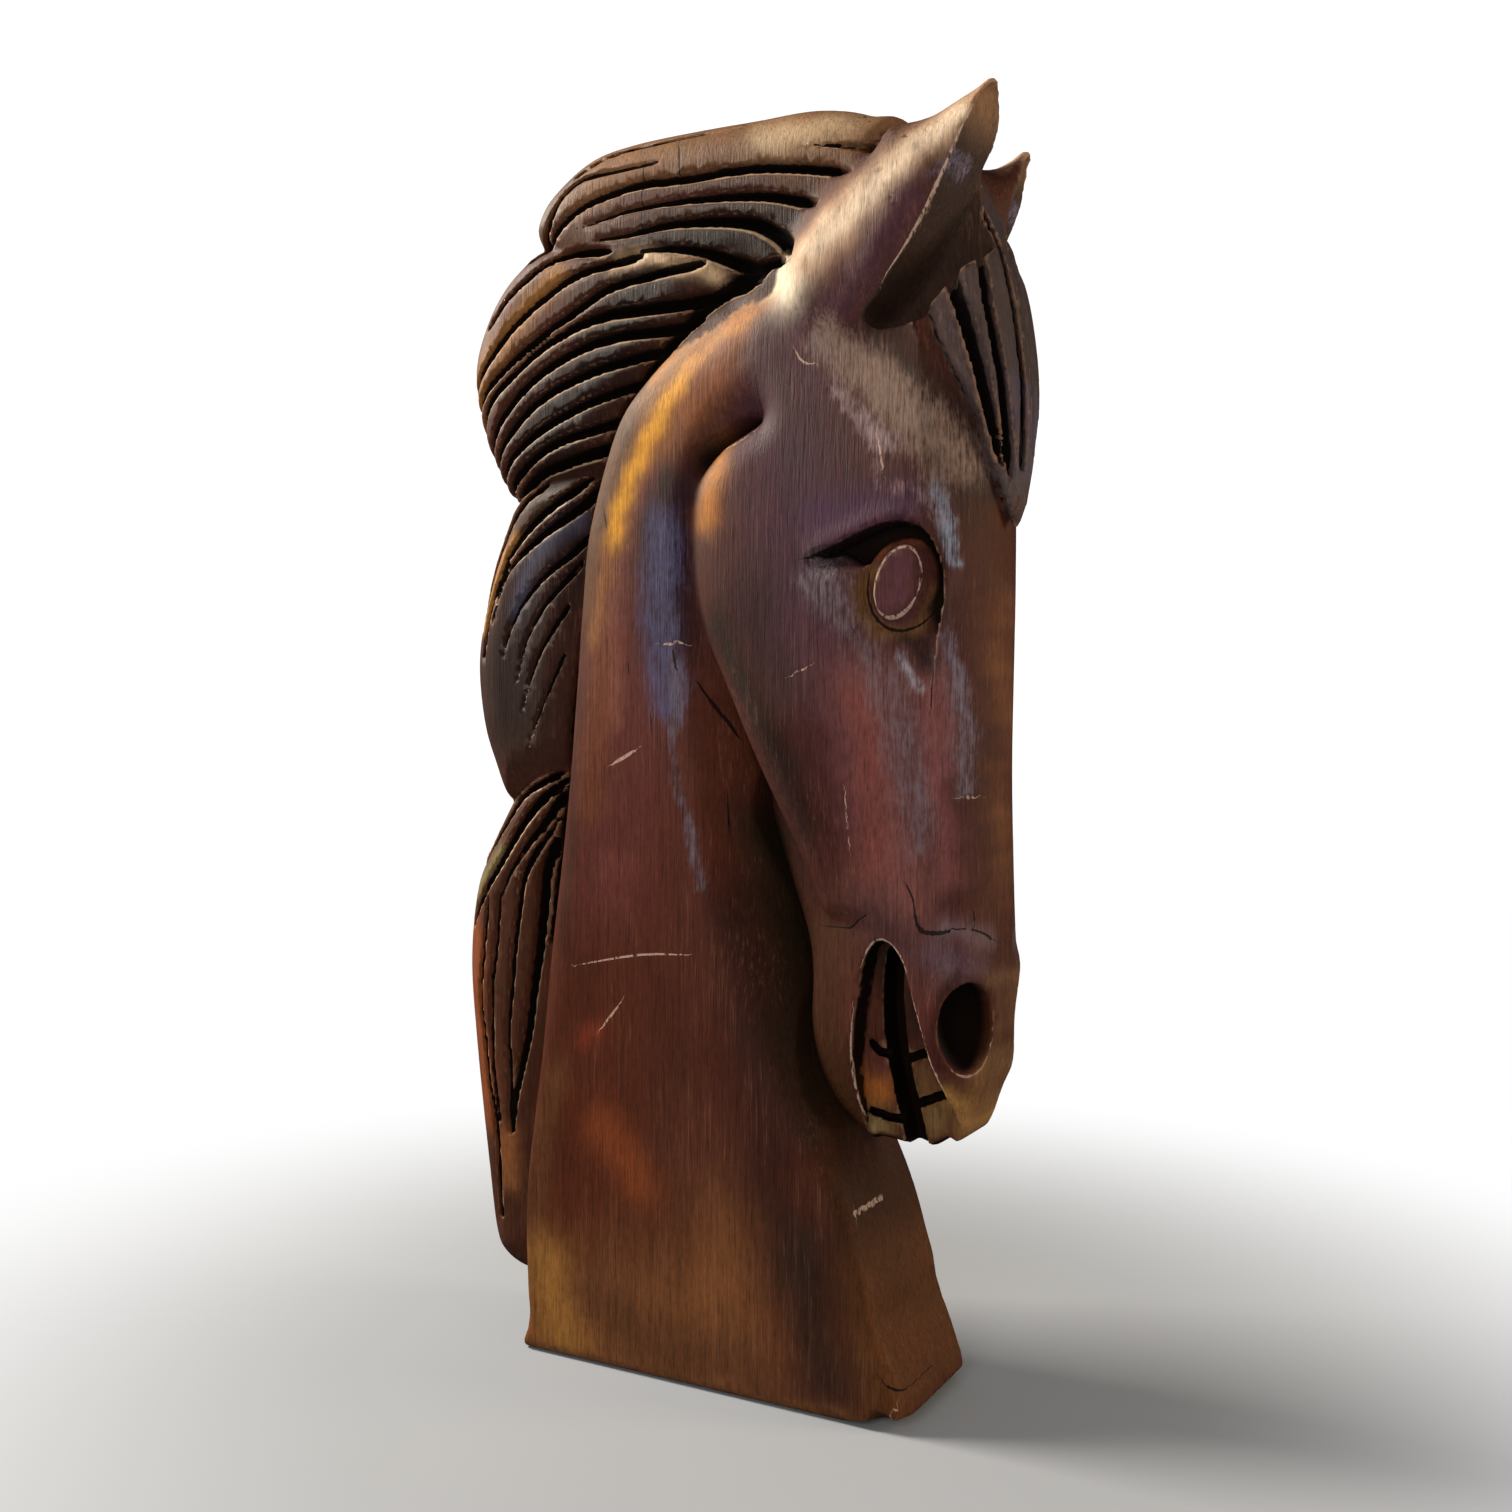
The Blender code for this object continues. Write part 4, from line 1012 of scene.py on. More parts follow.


# distance from the gouge strokes: the material paints the grooves near black as painted shadow and the lower
# lips pale as painted highlights
groove = np.full(len(x), NO_STROKE)
lip = np.full(len(x), NO_STROKE)
for stroke in MANE_STROKES:
    share, side, _ = to_stroke(stroke, x, z)
    nearer = share < groove
    groove = np.where(nearer, share, groove)
    lip = np.where(nearer, np.where(side > 0, share, NO_STROKE), lip)
behind = x < 120
groove = np.where(in_hair, np.where(behind, groove, forelock_share(x, y, z)), NO_STROKE)
lip = np.where(in_hair & behind, lip, NO_STROKE)
keep("groove", np.minimum(groove, 4))
keep("lip", np.minimum(lip, 4))

# a painted highlight line round each nostril's rim, widest low at its front, is laid in with the scratches
across, up, outward = in_nostril(x - NOSTRIL_CENTRE[0], off_middle - NOSTRIL_CENTRE[1],
                                 z - NOSTRIL_CENTRE[2])
off_ring = (np.sqrt(across**2 + up**2 + (outward / units(NOSTRIL_DEPTH)) ** 2) - 1) * NOSTRIL_HALF[0]
off_ring = np.where((off_middle > BESIDE) & (outward > RING_BACK), np.hypot(off_ring, below), RING_REACH)
ring_half = 0.35 + 0.95 * ramp(0.7 * across - up, -0.8, 0.9)
on_left, in_a_cut = y > 0, (below > 4.5) & ~near_eye
for name, marks in (("crack_and_shade_line", DARK_MARKS), ("scratch_and_highlight_line", LIGHT_MARKS)):
    signed, distance = nearest_mark(marks)
    if name == "scratch_and_highlight_line":
        on_ring = np.clip(off_ring / ring_half, -MARK_LIMIT, MARK_LIMIT)
        signed = np.where(off_ring < distance, on_ring, signed)
        distance = np.minimum(distance, off_ring)
    keep(name, signed)
    keep(name + "_near", distance + 30 * on_left + 30 * in_a_cut)
print(len(DARK_MARKS), "cracks and", len(LIGHT_MARKS), "scratches")

# %% [markdown]
# The colour of this carving is far from even, and light and shade are painted into it as well. The
# crest of the neck and the back of the ear are rubbed to gold and tan and carry painted highlights,
# the cheek has a purple painted reflection, the brow is greenish, the valley behind the cheek has
# painted shade under a blue-grey painted reflection, and the foot is painted ochre, lighter at its left
# end as painted light. They are painted in that order, as soft strokes of a brush over each other: a
# line, a brush width and a strength. A gently waved place keeps their edges from looking drawn. The
# pale painted reflections and highlights are kept apart, as a colour with its own strength, because
# the material breaks them up along the grain.
# %% Paint the coloured places
def linear(red, green, blue):
    """A colour as the eye names it, from 0 to 255, as the light that the shader counts in."""
    shares = [v / 255 for v in (red, green, blue)]
    return tuple(v / 12.92 if v <= 0.04045 else ((v + 0.055) / 1.055) ** 2.4 for v in shares)


BARE_STAIN = (82, 42, 26)
PAINT = [
    # the stain's own colours, with painted light and shade in the places named below
    # colour, strength, brush width, least distance from the middle plane, line
    # broad stains
    ((85, 32, 6), 1.0, 120, 0, [(-140, 60), (-120, 250), (-80, 450)]),
    # painted light: the left end of the foot lighter, where the light falls
    ((131, 79, 39), 0.9, 70, 0, [(-120, 20), (0, 60), (60, 110)]),
    ((86, 31, 16), 1.0, 55, 0, [(120, 90), (105, 180), (60, 260), (40, 400)]),
    ((99, 43, 35), 1.0, 56, 0, [(-90, 420), (-80, 520), (-90, 620)]),
    # purple over the cheek and the side of the head, a painted cool reflection
    ((71, 36, 48), 1.0, 62, 0, [(60, 830), (80, 740), (90, 640), (120, 560), (150, 480)]),
    ((140, 84, 78), 0.8, 40, 0, [(150, 560), (165, 480), (175, 400)]),
    ((76, 36, 29), 0.9, 36, 0, [(225, 640), (225, 500), (225, 400)]),
    # the neck
    # painted shade in the valley behind the cheek
    ((41, 21, 33), 0.95, 24, 0, [(-8, 765), (-18, 715), (-28, 660), (-24, 610)]),
    ((128, 74, 60), 0.8, 11, 20, [(-40, 772), (-54, 738), (-66, 709), (-76, 686), (-84, 650), (-86, 600),
                                  (-86, 540)]),
    # the crest, rubbed to gold, with painted highlights along its top and down its middle
    ((141, 81, 42), 0.9, 22, 20, [(32, 851), (23, 830), (5, 805), (-15, 790), (-35, 768)]),
    ((196, 138, 82), 0.95, 15, 20, [(98, 893), (70, 886), (43, 880), (12, 870), (-21, 854), (-44, 835),
                                    (-65, 810)]),
    ((92, 56, 20), 0.95, 14, 20, [(-64, 814), (-80, 784), (-92, 750), (-102, 718), (-108, 690),
                                  (-114, 655), (-118, 625)]),
    ((236, 164, 44), 0.95, 9, 20, [(-12, 828), (-32, 802), (-50, 774), (-64, 744), (-75, 716),
                                   (-84, 688)]),
    ((206, 140, 72), 0.85, 9, 20, [(44, 858), (14, 846), (-8, 828)]),
    # painted shade along the foot of the mane beside the crest
    ((64, 24, 6), 0.8, 11, 20, [(-114, 620), (-122, 580), (-126, 530), (-130, 450), (-138, 350)]),
    ((119, 63, 30), 0.7, 16, 20, [(-96, 600), (-100, 540), (-106, 470)]),
    ((105, 60, 28), 0.9, 12, 20, [(-143, 245), (-153, 196), (-160, 156), (-165, 116), (-170, 70)]),
    # painted light on the left end of the foot
    ((175, 119, 52), 0.85, 26, 0, [(-150, 75), (-146, 48), (-136, 13)]),
    ((102, 60, 32), 0.8, 26, 0, [(-98, 60), (-58, 35), (37, 25)]),
    ((130, 81, 45), 0.8, 6, 0, [(-150, 4), (-40, 4), (90, 4), (150, 4)]),
    ((119, 41, 10), 0.8, 9, 30, [(-114, 275), (-96, 282)]),
    ((162, 77, 26), 0.5, 22, 30, [(-95, 200), (-60, 160)]),
    # painted shadow behind the jaw and down the throat, in this and the next stroke
    ((33, 30, 16), 0.9, 26, 0, [(47, 450), (66, 370), (80, 290), (104, 225)]),
    ((50, 23, 11), 0.7, 30, 30, [(30, 380), (50, 280), (66, 180), (80, 110)]),
    # painted shade on the front of the foot
    ((70, 38, 14), 0.9, 26, 0, [(150, 40), (138, 110), (126, 180)]),
    ((45, 30, 19), 0.8, 22, 40, [(112, 30), (100, 80), (92, 130)]),
    ((116, 68, 30), 0.7, 22, 0, [(168, 20), (160, 70), (152, 120)]),
    # more painted shade in the valley behind the cheek
    ((52, 32, 34), 0.85, 13, 20, [(-34, 740), (-40, 705), (-46, 668)]),
    ((150, 94, 50), 0.85, 9, 20, [(-90, 680), (-97, 645), (-102, 610)]),
    # the poll, with a painted highlight
    ((255, 238, 206), 0.92, 17, 20, [(60, 897), (78, 884), (84, 872)]),
    ((68, 38, 37), 0.7, 16, 30, [(60, 850), (75, 800), (80, 770)]),
    # the cheek and the face
    # painted shade along the lower back edge of the cheek
    ((73, 24, 6), 0.85, 15, 30, [(6, 700), (6, 670), (14, 645), (27, 615), (50, 570), (80, 525)]),
    # the rim of the cheek, rubbed to gold, with a painted highlight
    ((182, 112, 28), 0.95, 13, 30, [(14, 752), (16, 735), (12, 717), (9, 700)]),
    # painted shade along the jaw's lower edge, and below the cheek in the next
    ((26, 17, 9), 0.8, 14, 30, [(22, 615), (36, 580), (61, 540), (86, 500), (100, 455)]),
    ((62, 34, 34), 0.7, 22, 30, [(45, 640), (62, 600), (84, 560)]),
    # painted shade under the forelock
    ((51, 35, 30), 0.8, 18, 20, [(160, 832), (185, 800), (214, 762), (229, 724), (232, 690)]),
    ((93, 64, 57), 0.7, 3, 30, [(209, 672), (214, 650), (214, 626), (210, 600)]),
    ((126, 83, 81), 0.7, 8, 30, [(204, 590), (208, 550), (210, 500)]),
    ((91, 43, 12), 0.85, 12, 0, [(240, 690), (242, 600), (242, 500), (242, 380)]),
    ((140, 70, 59), 0.65, 15, 30, [(140, 556), (152, 530), (150, 480), (150, 430)]),
    ((153, 88, 84), 0.55, 10, 30, [(196, 560), (202, 480), (208, 418)]),
    ((76, 43, 70), 0.8, 20, 40, [(110, 690), (150, 702), (180, 700)]),
    ((72, 23, 7), 0.6, 20, 40, [(110, 520), (112, 470), (118, 430)]),
    # painted light from the right along the front edge of the face
    ((132, 82, 44), 0.7, 6, 0, [(238, 640), (238, 520), (238, 400)]),
    # the eye
    ((118, 80, 42), 0.95, 6, 30, [(152, 656), (147, 640), (150, 618), (164, 606), (184, 606), (197, 618),
                                  (201, 634)]),
    ((139, 76, 46), 0.9, 5, 30, [(158, 668), (170, 675), (186, 673)]),
    # painted shade under the back of the lid
    ((35, 32, 32), 0.9, 7, 30, [(112, 660), (124, 662), (134, 662)]),
    ((98, 52, 59), 1.0, 15, 30, [(176, 652), (172, 630)]),
    # painted shadow under the eyeball
    ((38, 24, 25), 0.8, 8, 40, [(178, 600), (189, 594), (196, 578)]),
    # the backs of the ears, rubbed to tan, with painted highlights along them
    ((200, 156, 120), 0.95, 18, 42, [(240, 1010), (222, 985), (196, 965), (160, 942), (128, 917),
                                     (98, 892)]),
    ((84, 50, 58), 0.85, 16, 42, [(189, 925), (165, 895), (139, 865), (114, 842)]),
    ((255, 226, 192), 0.85, 10, 42, [(222, 982), (200, 966), (176, 950), (150, 932), (124, 912),
                                     (106, 896)]),
    # the muzzle
    ((81, 45, 21), 0.8, 22, 0, [(118, 369), (108, 345), (104, 317), (106, 290), (112, 250), (118, 222)]),
    ((112, 57, 46), 0.5, 6, 30, [(130, 340), (129, 300)]),
    ((66, 37, 38), 0.8, 20, 20, [(150, 388), (175, 373), (192, 358), (205, 344)]),
    ((95, 70, 81), 0.7, 10, 30, [(196, 362), (214, 356), (226, 350)]),
    ((77, 26, 25), 0.7, 14, 20, [(190, 330), (194, 305), (200, 282), (213, 270)]),
    # painted light from the right along the front edge of the nose
    ((130, 88, 62), 0.7, 8, 0, [(240, 340), (246, 315), (240, 286), (228, 272)]),
    ((116, 93, 97), 0.7, 8, 20, [(208, 379), (220, 378), (231, 371)]),
    ((195, 143, 73), 0.8, 10, 0, [(206, 252), (215, 244), (216, 228)]),
    # painted light from the right along the front edge of the nose
    ((138, 96, 50), 0.8, 9, 0, [(246, 340), (243, 300), (232, 262), (220, 240)]),
]
# pale painted reflections and highlights, each with its own strength
PAINTED_SHEEN_STROKES = [
    # painted reflections in the valley behind the cheek, and on the streak down the neck below it
    ((74, 70, 100), 0.85, 21, 20, [(-36, 700), (-40, 640), (-38, 600), (-32, 560)]),
    ((98, 90, 102), 0.65, 5.5, 20, [(-24, 585), (-22, 560), (-24, 540), (-26, 517), (-19, 483),
                                    (-9, 443), (3, 403)]),
    # painted reflections round the eye and on the brow
    ((112, 100, 106), 0.5, 21, 40, [(107, 650), (131, 622), (149, 592), (165, 553), (176, 520),
                                    (184, 480), (188, 450)]),
    ((158, 150, 158), 0.6, 3.5, 40, [(175, 588), (183, 570), (190, 556)]),
    ((140, 148, 166), 0.85, 5.5, 30, [(206, 708), (209, 690), (212, 668), (213, 652)]),
    ((116, 106, 118), 0.6, 6.5, 30, [(213, 600), (215, 568), (217, 545), (220, 515), (221, 480)]),
    ((156, 124, 120), 0.45, 6, 40, [(156, 747), (160, 730), (163, 718), (180, 710), (197, 697),
                                    (204, 685)]),
    # painted reflections and highlights below the ear, on the ear and down the forehead
    ((85, 91, 119), 0.75, 7, 30, [(112, 828), (120, 822)]),
    ((122, 110, 131), 0.6, 5, 42, [(219, 952), (205, 934)]),
    ((131, 105, 90), 0.95, 19, 30, [(118, 828), (151, 803), (174, 776), (199, 747), (213, 722)]),
    ((150, 128, 128), 0.5, 7, 40, [(120, 790), (150, 760), (172, 742)]),
]
HAIR_PAINT = [
    # broad stains; the lighter top of the mane is a painted highlight, and the two dark bands beside the
    # crest are painted shadow
    ((142, 98, 60), 0.9, 42, 0, [(150, 1000), (60, 1020), (-40, 1022), (-120, 1010)]),
    ((24, 13, 10), 0.9, 46, 0, [(60, 925), (-40, 925), (-100, 850), (-160, 790)]),
    ((38, 23, 21), 0.9, 60, 0, [(-140, 700), (-190, 620), (-200, 540)]),
    ((78, 39, 18), 0.9, 60, 0, [(-190, 440), (-215, 300), (-205, 120)]),
    ((78, 64, 62), 0.9, 60, 0, [(215, 930), (235, 830), (246, 720)]),
    # the forelock
    ((68, 54, 55), 0.95, 8, 0, [(216, 955), (237, 900), (250, 850), (256, 800)]),
    # a painted blue reflection
    ((83, 74, 99), 0.7, 7, 0, [(257, 790), (256, 755), (252, 725)]),
    ((96, 82, 80), 0.7, 8, 0, [(246, 745), (242, 705)]),
    # the locks of the mane; their light tops and golden back edges are painted highlights, and the blue
    # streak on the third lock is a painted reflection
    ((200, 168, 128), 0.85, 14, 20, [(120, 1000), (90, 1004), (50, 1004)]),
    ((72, 45, 21), 0.8, 10, 0, [(-130, 1010), (-160, 1000), (-176, 975)]),
    ((76, 38, 30), 0.7, 8, 30, [(60, 964), (0, 972), (-60, 976), (-110, 970)]),
    ((170, 114, 51), 0.8, 13, 0, [(-150, 922), (-187, 896), (-215, 873), (-236, 850), (-250, 815)]),
    ((224, 186, 142), 0.85, 7, 30, [(8, 902), (-10, 912), (-45, 922), (-87, 925)]),
    ((188, 129, 58), 0.8, 6, 0, [(-196, 705), (-214, 682), (-228, 655), (-238, 620)]),
    ((83, 63, 43), 0.7, 6, 30, [(-160, 728), (-175, 713), (-190, 698)]),
    ((79, 80, 103), 0.6, 8, 30, [(-128, 716), (-152, 697), (-174, 680), (-188, 662), (-194, 640)]),
    ((136, 124, 79), 0.75, 7, 0, [(-212, 430), (-226, 413), (-242, 390)]),
    ((156, 78, 26), 0.6, 14, 0, [(-246, 353), (-244, 300), (-236, 245), (-228, 190)]),
    ((182, 111, 58), 0.6, 10, 30, [(-202, 180), (-202, 140)]),
]
# dabs on the teeth and the inner lips: colour, middle; the last, dark one is painted shade at the top of the
# opening
MOUTH_PAINT = [((96, 52, 36), (138, 310)), ((196, 112, 36), (142, 254)), ((104, 52, 46), (142, 272)),
               ((150, 122, 78), (140, 218)), ((60, 34, 26), (171, 310)), ((116, 78, 44), (178, 262)),
               ((128, 98, 54), (186, 232)), ((40, 28, 20), (150, 350))]
DAB_HALF = (13, 17)
# the ear's hollow, and the upper hollow lighter as painted light from the right
EAR_INSIDE, LIT_EAR_TIP = (62, 43, 34), (146, 104, 70)

waved_x = (x + 1.6 * np.sin(z / 17 + y / 23) + 1.0 * np.sin(z / 6.1 + x / 9)
           + 0.8 * np.sin(z / 2.9 - x / 5))
waved_z = z + 3.0 * np.sin(x / 15 - y / 19) + 1.6 * np.sin(x / 5.3 + z / 11)


def covered(allowed, strength, width, least, line):
    """How much of each point a stroke covers: its strength times exp(-(distance / width)²), where it
    is allowed and at least so far from the middle plane."""
    distance, _, _ = to_curve(smooth_curve(line, steps=3), waved_x, waved_z)
    here = allowed * strength * np.exp(-(distance / width) ** 2)
    return here * ramp(off_middle, least - 6, least + 2 if least else -5)


def lay_over(paint, here, colour):
    """Moves the paint towards a colour by a share at each point."""
    paint += here[:, None] * (np.array(linear(*colour)) - paint)


painted = np.tile(linear(*BARE_STAIN), (len(x), 1))
for strokes, allowed in ((PAINT, ~in_hair), (HAIR_PAINT, in_hair)):
    for colour, *brush in strokes:
        lay_over(painted, covered(allowed, *brush), colour)
lay_over(painted, ear_hollow, EAR_INSIDE)
# the upper hollow painted lighter, as painted light from the right
lay_over(painted, ear_hollow * ramp(z, 955, 1000), LIT_EAR_TIP)
for colour, (dab_x, dab_z) in MOUTH_PAINT:
    near = np.exp(-((x - dab_x) / DAB_HALF[0]) ** 2 - ((z - dab_z) / DAB_HALF[1]) ** 2)
    lay_over(painted, in_mouth * near, colour)
painted_sheen, amount = np.zeros((len(x), 3)), np.zeros(len(x))
for colour, *brush in PAINTED_SHEEN_STROKES:
    here = covered(~in_hair, *brush)
    lay_over(painted_sheen, here, colour)
    amount += here * (1 - amount)
painted_sheen /= np.maximum(amount, 1e-3)[:, None]
for name, colours, share in (("paint", painted, np.ones(len(x))), ("painted_sheen", painted_sheen, amount)):
    layer = mesh.attributes.new(name, "FLOAT_COLOR", "POINT")
    layer.data.foreach_set("color", np.column_stack([colours, share]).astype(np.float32).ravel())
print(len(PAINT) + len(HAIR_PAINT) + len(PAINTED_SHEEN_STROKES), "strokes of paint")

# %% [markdown]
# Shader maths is easier to read as sums and products than as boxes and wires. This class wraps one
# output of a node. Arithmetic on it adds Math nodes, and one method adds any other node: first its
# settings, then the values or links of its sockets.
# %% Write shader maths as expressions
class Wire:
    """One output of a node in a material."""

    def __init__(self, output):
        self.output = output

    def node(self, kind, settings, sockets, output=0):
        """Adds a node of a kind, sets it, fills its sockets, and gives one of its outputs."""
        tree = self.output.id_data
        made = tree.nodes.new(kind)
        for name, value in settings.items():
            setattr(made, name, value)
        for name, value in sockets.items():
            if isinstance(value, Wire):
                tree.links.new(value.output, made.inputs[name])
            else:
                made.inputs[name].default_value = value
        return Wire(made.outputs[output])

    def maths(self, operation, *values):
        """A Math node of this operation on some values."""
        return self.node("ShaderNodeMath", {"operation": operation}, dict(enumerate(values)))

    def __add__(self, other):
        return self.maths("ADD", self, other)

    def __mul__(self, other):
        return self.maths("MULTIPLY", self, other)

    def __sub__(self, other):
        return self.maths("SUBTRACT", self, other)

    def __rsub__(self, other):
        return self.maths("SUBTRACT", other, self)

    __radd__ = __add__
    __rmul__ = __mul__

    def between(self, low, high):
        """0 at low, 1 at high, smooth between."""
        return self.node("ShaderNodeMapRange", {"interpolation_type": "SMOOTHSTEP"},
                         {"Value": self, "From Min": low, "From Max": high})

    def mixed(self, share, other):
        """This colour, with a share of another over it: a wire, or a colour as the eye names it."""
        if not isinstance(other, Wire):
            other = (*linear(*other), 1.0)
        return self.node("ShaderNodeMix", {"data_type": "RGBA"}, {0: share, 6: self, 7: other}, 2)

    def kept(self, name, output="Fac"):
        """What the mesh keeps at its points under a name: a number, a Color or its Alpha."""
        return self.node("ShaderNodeAttribute", {"attribute_name": name}, {}, output)


def noise(place, stretch, detail=4.0, roughness=0.55):
    """Fractal noise at a place, stretched to so many waves a metre along each axis."""
    spot = place.node("ShaderNodeMapping", {}, {"Vector": place, "Scale": stretch})
    return place.node("ShaderNodeTexNoise", {}, {"Vector": spot, "Scale": 1.0, "Detail": detail,
                                                  "Roughness": roughness})


print("middle grey, as light:", tuple(round(v, 3) for v in linear(128, 128, 128)))


# %% [markdown]
# The finish is a dark stain under a thin old varnish. The grain runs up the block, so the noise that
# streaks the colour is stretched along z: fibres about a millimetre across and several centimetres
# long, with broader bands below them. The painted colour is lightened and darkened by that grain.
# Over it come pale edges, both worn and painted as highlights, painted highlights on the lower lips
# of the strokes, a dark layer that darkens everything by half and, as painted shade, fully in narrow
# places, near-black painted shadow in the grooves and deep cuts, and the cracks and scratches with
# the painted shade and highlight lines drawn among them.
# %% Mix the stained wood
EVEN_SHADE = 0.5
VARNISH_GLOSS = 0.16

wood = bpy.data.materials.new("stained_carved_wood")
wood.use_nodes = True
tree = wood.node_tree
shader = tree.nodes["Principled BSDF"]
place = Wire(tree.nodes.new("ShaderNodeTexCoord").outputs["Object"])
band = noise(place, (70, 70, 7), 4).between(0.30, 0.70)
fibre = noise(place, (560, 560, 18), 5, 0.65).between(0.32, 0.68)
thread = noise(place, (1300, 1300, 60), 3, 0.6).between(0.30, 0.70)
cloud = noise(place, (24, 24, 13), 5, 0.6).between(0.30, 0.70)
fleck = noise(place, (420, 420, 160), 3, 0.6)
close_wood, sunk = place.kept("close"), place.kept("sunk")
speck = fleck - 0.5

stain = place.kept("paint", "Color")
mottle = speck * 1.1 + (thread - 0.5) * 0.4 + (fibre - 0.5) * 0.3 + (cloud - 0.5) * 0.4
# the pale painted reflections and highlights, broken up along the grain
sheen_share = place.kept("painted_sheen", "Alpha")
stain = stain.mixed((sheen_share + mottle).between(0.0, 1.15) * sheen_share.between(0.02, 0.45),
                    place.kept("painted_sheen", "Color"))
tone = 0.58 + band * 0.10 + fibre * 0.14 + cloud * 0.22 + thread * 0.12 + fleck.between(0.3, 0.7) * 0.28
stain = place.node("ShaderNodeVectorMath", {"operation": "SCALE"}, {0: stain, "Scale": tone})


def drawn_mark(name, edge):
    """1 within a mark of the mesh's own widths, where its nearest line is less than 6 units away."""
    across = place.maths("ABSOLUTE", place.kept(name)) + speck * 1.2
    return across.between(edge, edge * 0.55) * place.kept(name + "_near").between(6.0, 4.0)


dry = (fibre * 0.5 + thread * 0.5).between(0.62, 0.90) * cloud.between(0.35, 0.75)
wet = (fibre * 0.55 + thread * 0.45).between(0.36, 0.12)
worn_edge_and_highlight = (0.5 - close_wood + speck * 0.16).between(0.11, 0.22)
lip_share = place.kept("lip") + speck * 0.12
lip_highlight = lip_share.between(0.98, 1.08) * lip_share.between(1.70, 1.25)
shade = place.maths("MAXIMUM", (close_wood + speck * 0.1).between(0.58, 0.74), EVEN_SHADE)
groove_shadow = (place.kept("groove") + speck * 0.30).between(1.04, 0.86)
crack_and_shade_lines = drawn_mark("crack_and_shade_line", 1.0)
scratch_and_highlight_lines = drawn_mark("scratch_and_highlight_line", 1.3) * fleck.between(0.36, 0.52)
for share, colour in [
    (dry * 0.16, (168, 118, 92)),
    (wet * 0.28, (24, 11, 8)),
    # pale edges: wear, and painted edge highlights
    (worn_edge_and_highlight * 0.50, (172, 128, 96)),
    # painted highlight on the lower lip of each gouge stroke
    (lip_highlight * 0.70, (222, 184, 146)),
    # darkens everything by half, and as painted shade fully in narrow places
    (shade * 0.92, (12, 7, 5)),
    # painted shadow, near black, in the gouge grooves
    (groove_shadow * 0.96, (7, 4, 3)),
    # painted shade, near black, in the deep cuts
    (sunk.between(3.0, 14.0) * 0.95, (8, 5, 3)),
    # cracks, and painted shade lines along the lid and round the eyeball
    (crack_and_shade_lines * 0.9, (12, 6, 5)),
    # scratches, and painted highlights along the lips and rims
    (scratch_and_highlight_lines * 0.6, (178, 150, 132)),
]:
    stain = stain.mixed(share, colour)
tree.links.new(stain.output, shader.inputs["Base Color"])

shader.inputs["Specular IOR Level"].default_value = VARNISH_GLOSS
shader.inputs["Coat Weight"].default_value = 0.0
dull = 0.40 + cloud * 0.12 + fibre * 0.08 + (groove_shadow + shade) * 0.25 + scratch_and_highlight_lines * 0.2
tree.links.new(dull.output, shader.inputs["Roughness"])
height = (fibre * 0.30 + thread * 0.18 + band * 0.25 + fleck * 0.15 + cloud * 0.5 - crack_and_shade_lines * 1.2
          - scratch_and_highlight_lines * 0.3)
bump = place.node("ShaderNodeBump", {}, {"Strength": 0.6, "Distance": 0.0008, "Height": height})
tree.links.new(bump.output, shader.inputs["Normal"])
mesh.materials.clear()
mesh.materials.append(wood)
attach(carving, "root")
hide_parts("carved_horse_head")
print("wood mixed from", len(tree.nodes), "nodes")

# %% [markdown]
# The studio is plain: a pale floor that fades into a bright background, a large soft light high on
# the left, a fill in front that leaves no highlight, and a weak warm light from the right.
# %% Build the studio
floor_mesh = bpy.data.meshes.new("studio_floor")
floor_mesh.from_pydata([(-6, -6, 0), (6, -6, 0), (6, 6, 0), (-6, 6, 0)], [], [(0, 1, 2, 3)])
floor = add_object("studio_floor", floor_mesh)
floor.location.z = -0.0004
paper = bpy.data.materials.new("pale_paper")
paper.use_nodes = True
sheet = paper.node_tree
matt = sheet.nodes["Principled BSDF"]
matt.inputs["Base Color"].default_value = (0.25, 0.265, 0.29, 1.0)
matt.inputs["Roughness"].default_value = 0.9
spot = Wire(sheet.nodes.new("ShaderNodeTexCoord").outputs["Object"])
away = spot.node("ShaderNodeVectorMath", {"operation": "LENGTH"}, {0: spot}, 1).between(0.24, 0.80)
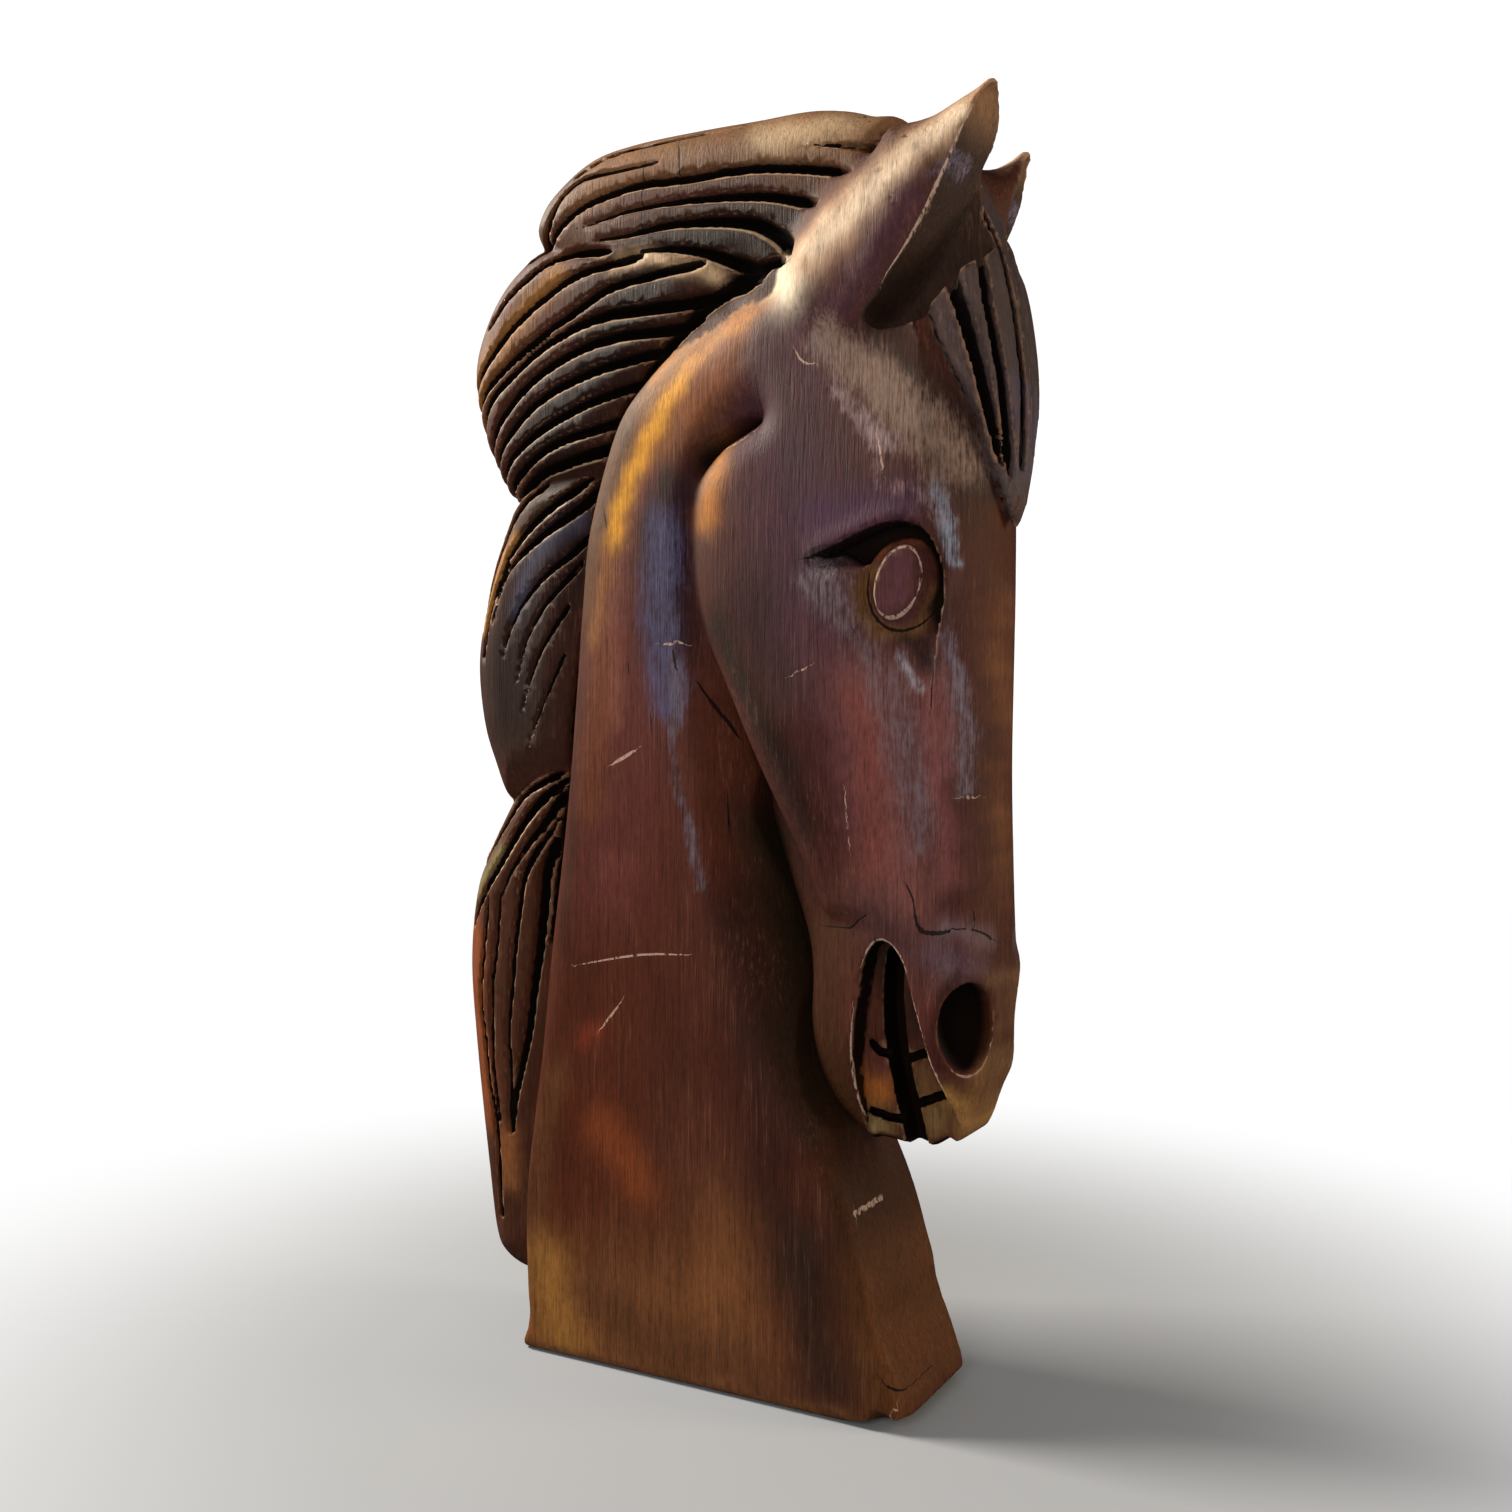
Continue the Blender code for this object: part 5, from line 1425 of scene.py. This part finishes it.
bright = spot.node("ShaderNodeEmission", {}, {"Color": (1.0, 1.0, 1.0, 1.0), "Strength": 1.0})
mixed = spot.node("ShaderNodeMixShader", {}, {0: away, 1: Wire(matt.outputs[0]), 2: bright})
sheet.links.new(mixed.output, sheet.nodes["Material Output"].inputs["Surface"])
floor_mesh.materials.append(paper)
floor.visible_glossy = False
floor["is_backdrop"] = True


def soft_light(name, place, aim, size, power, colour):
    """A square area light of a size and power, turned so that it looks from its place at its aim."""
    data = bpy.data.lights.new(name, "AREA")
    data.shape = "RECTANGLE"
    data.size, data.size_y = size
    data.energy, data.color = power, colour
    lamp = add_object(name, data)
    lamp.location = place
    away = np.array(place, float) - np.array(aim, float)
    turn = math.atan2(away[0], -away[1])
    lamp.rotation_euler = (math.atan2(math.hypot(away[0], away[1]), away[2]), 0.0, turn)
    return lamp


lamps = [soft_light(*light) for light in [
    ("key", (-1.55, -0.35, 1.6), (0.0, 0.0, 0.5), (0.6, 0.6), 100.0, (1.0, 0.92, 0.80)),
    ("rim", (1.5, 0.5, 0.8), (0.0, 0.0, 0.45), (0.5, 1.0), 14.0, (1.0, 0.80, 0.56)),
    ("fill", (0.6, -2.2, 1.1), (0.05, 0.0, 0.4), (1.4, 1.0), 30.0, (1.0, 0.96, 0.92)),
]]
lamps[-1].visible_glossy = False
bpy.context.scene.view_settings.view_transform = "Standard"

world = bpy.data.worlds.new("studio_air")
bpy.context.scene.world = world
world.use_nodes = True
air = world.node_tree
rays = air.nodes.new("ShaderNodeLightPath")
seen, mirrored = Wire(rays.outputs["Is Camera Ray"]), Wire(rays.outputs["Is Glossy Ray"])
air.nodes["Background"].inputs["Color"].default_value = (1.0, 1.0, 1.0, 1.0)
air.links.new((0.28 + seen * 0.80 - mirrored * 0.22).output, air.nodes["Background"].inputs["Strength"])
print("three soft lights and a pale floor")

# %% [markdown]
# At the end the box of the finished piece is printed. It may differ from the box of the imported
# model by less than a centimetre.
# %% Print the finished box and finish
made_box = [[float(v) for v in corner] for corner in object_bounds()]
print("finished box in metres:", made_box, passed())
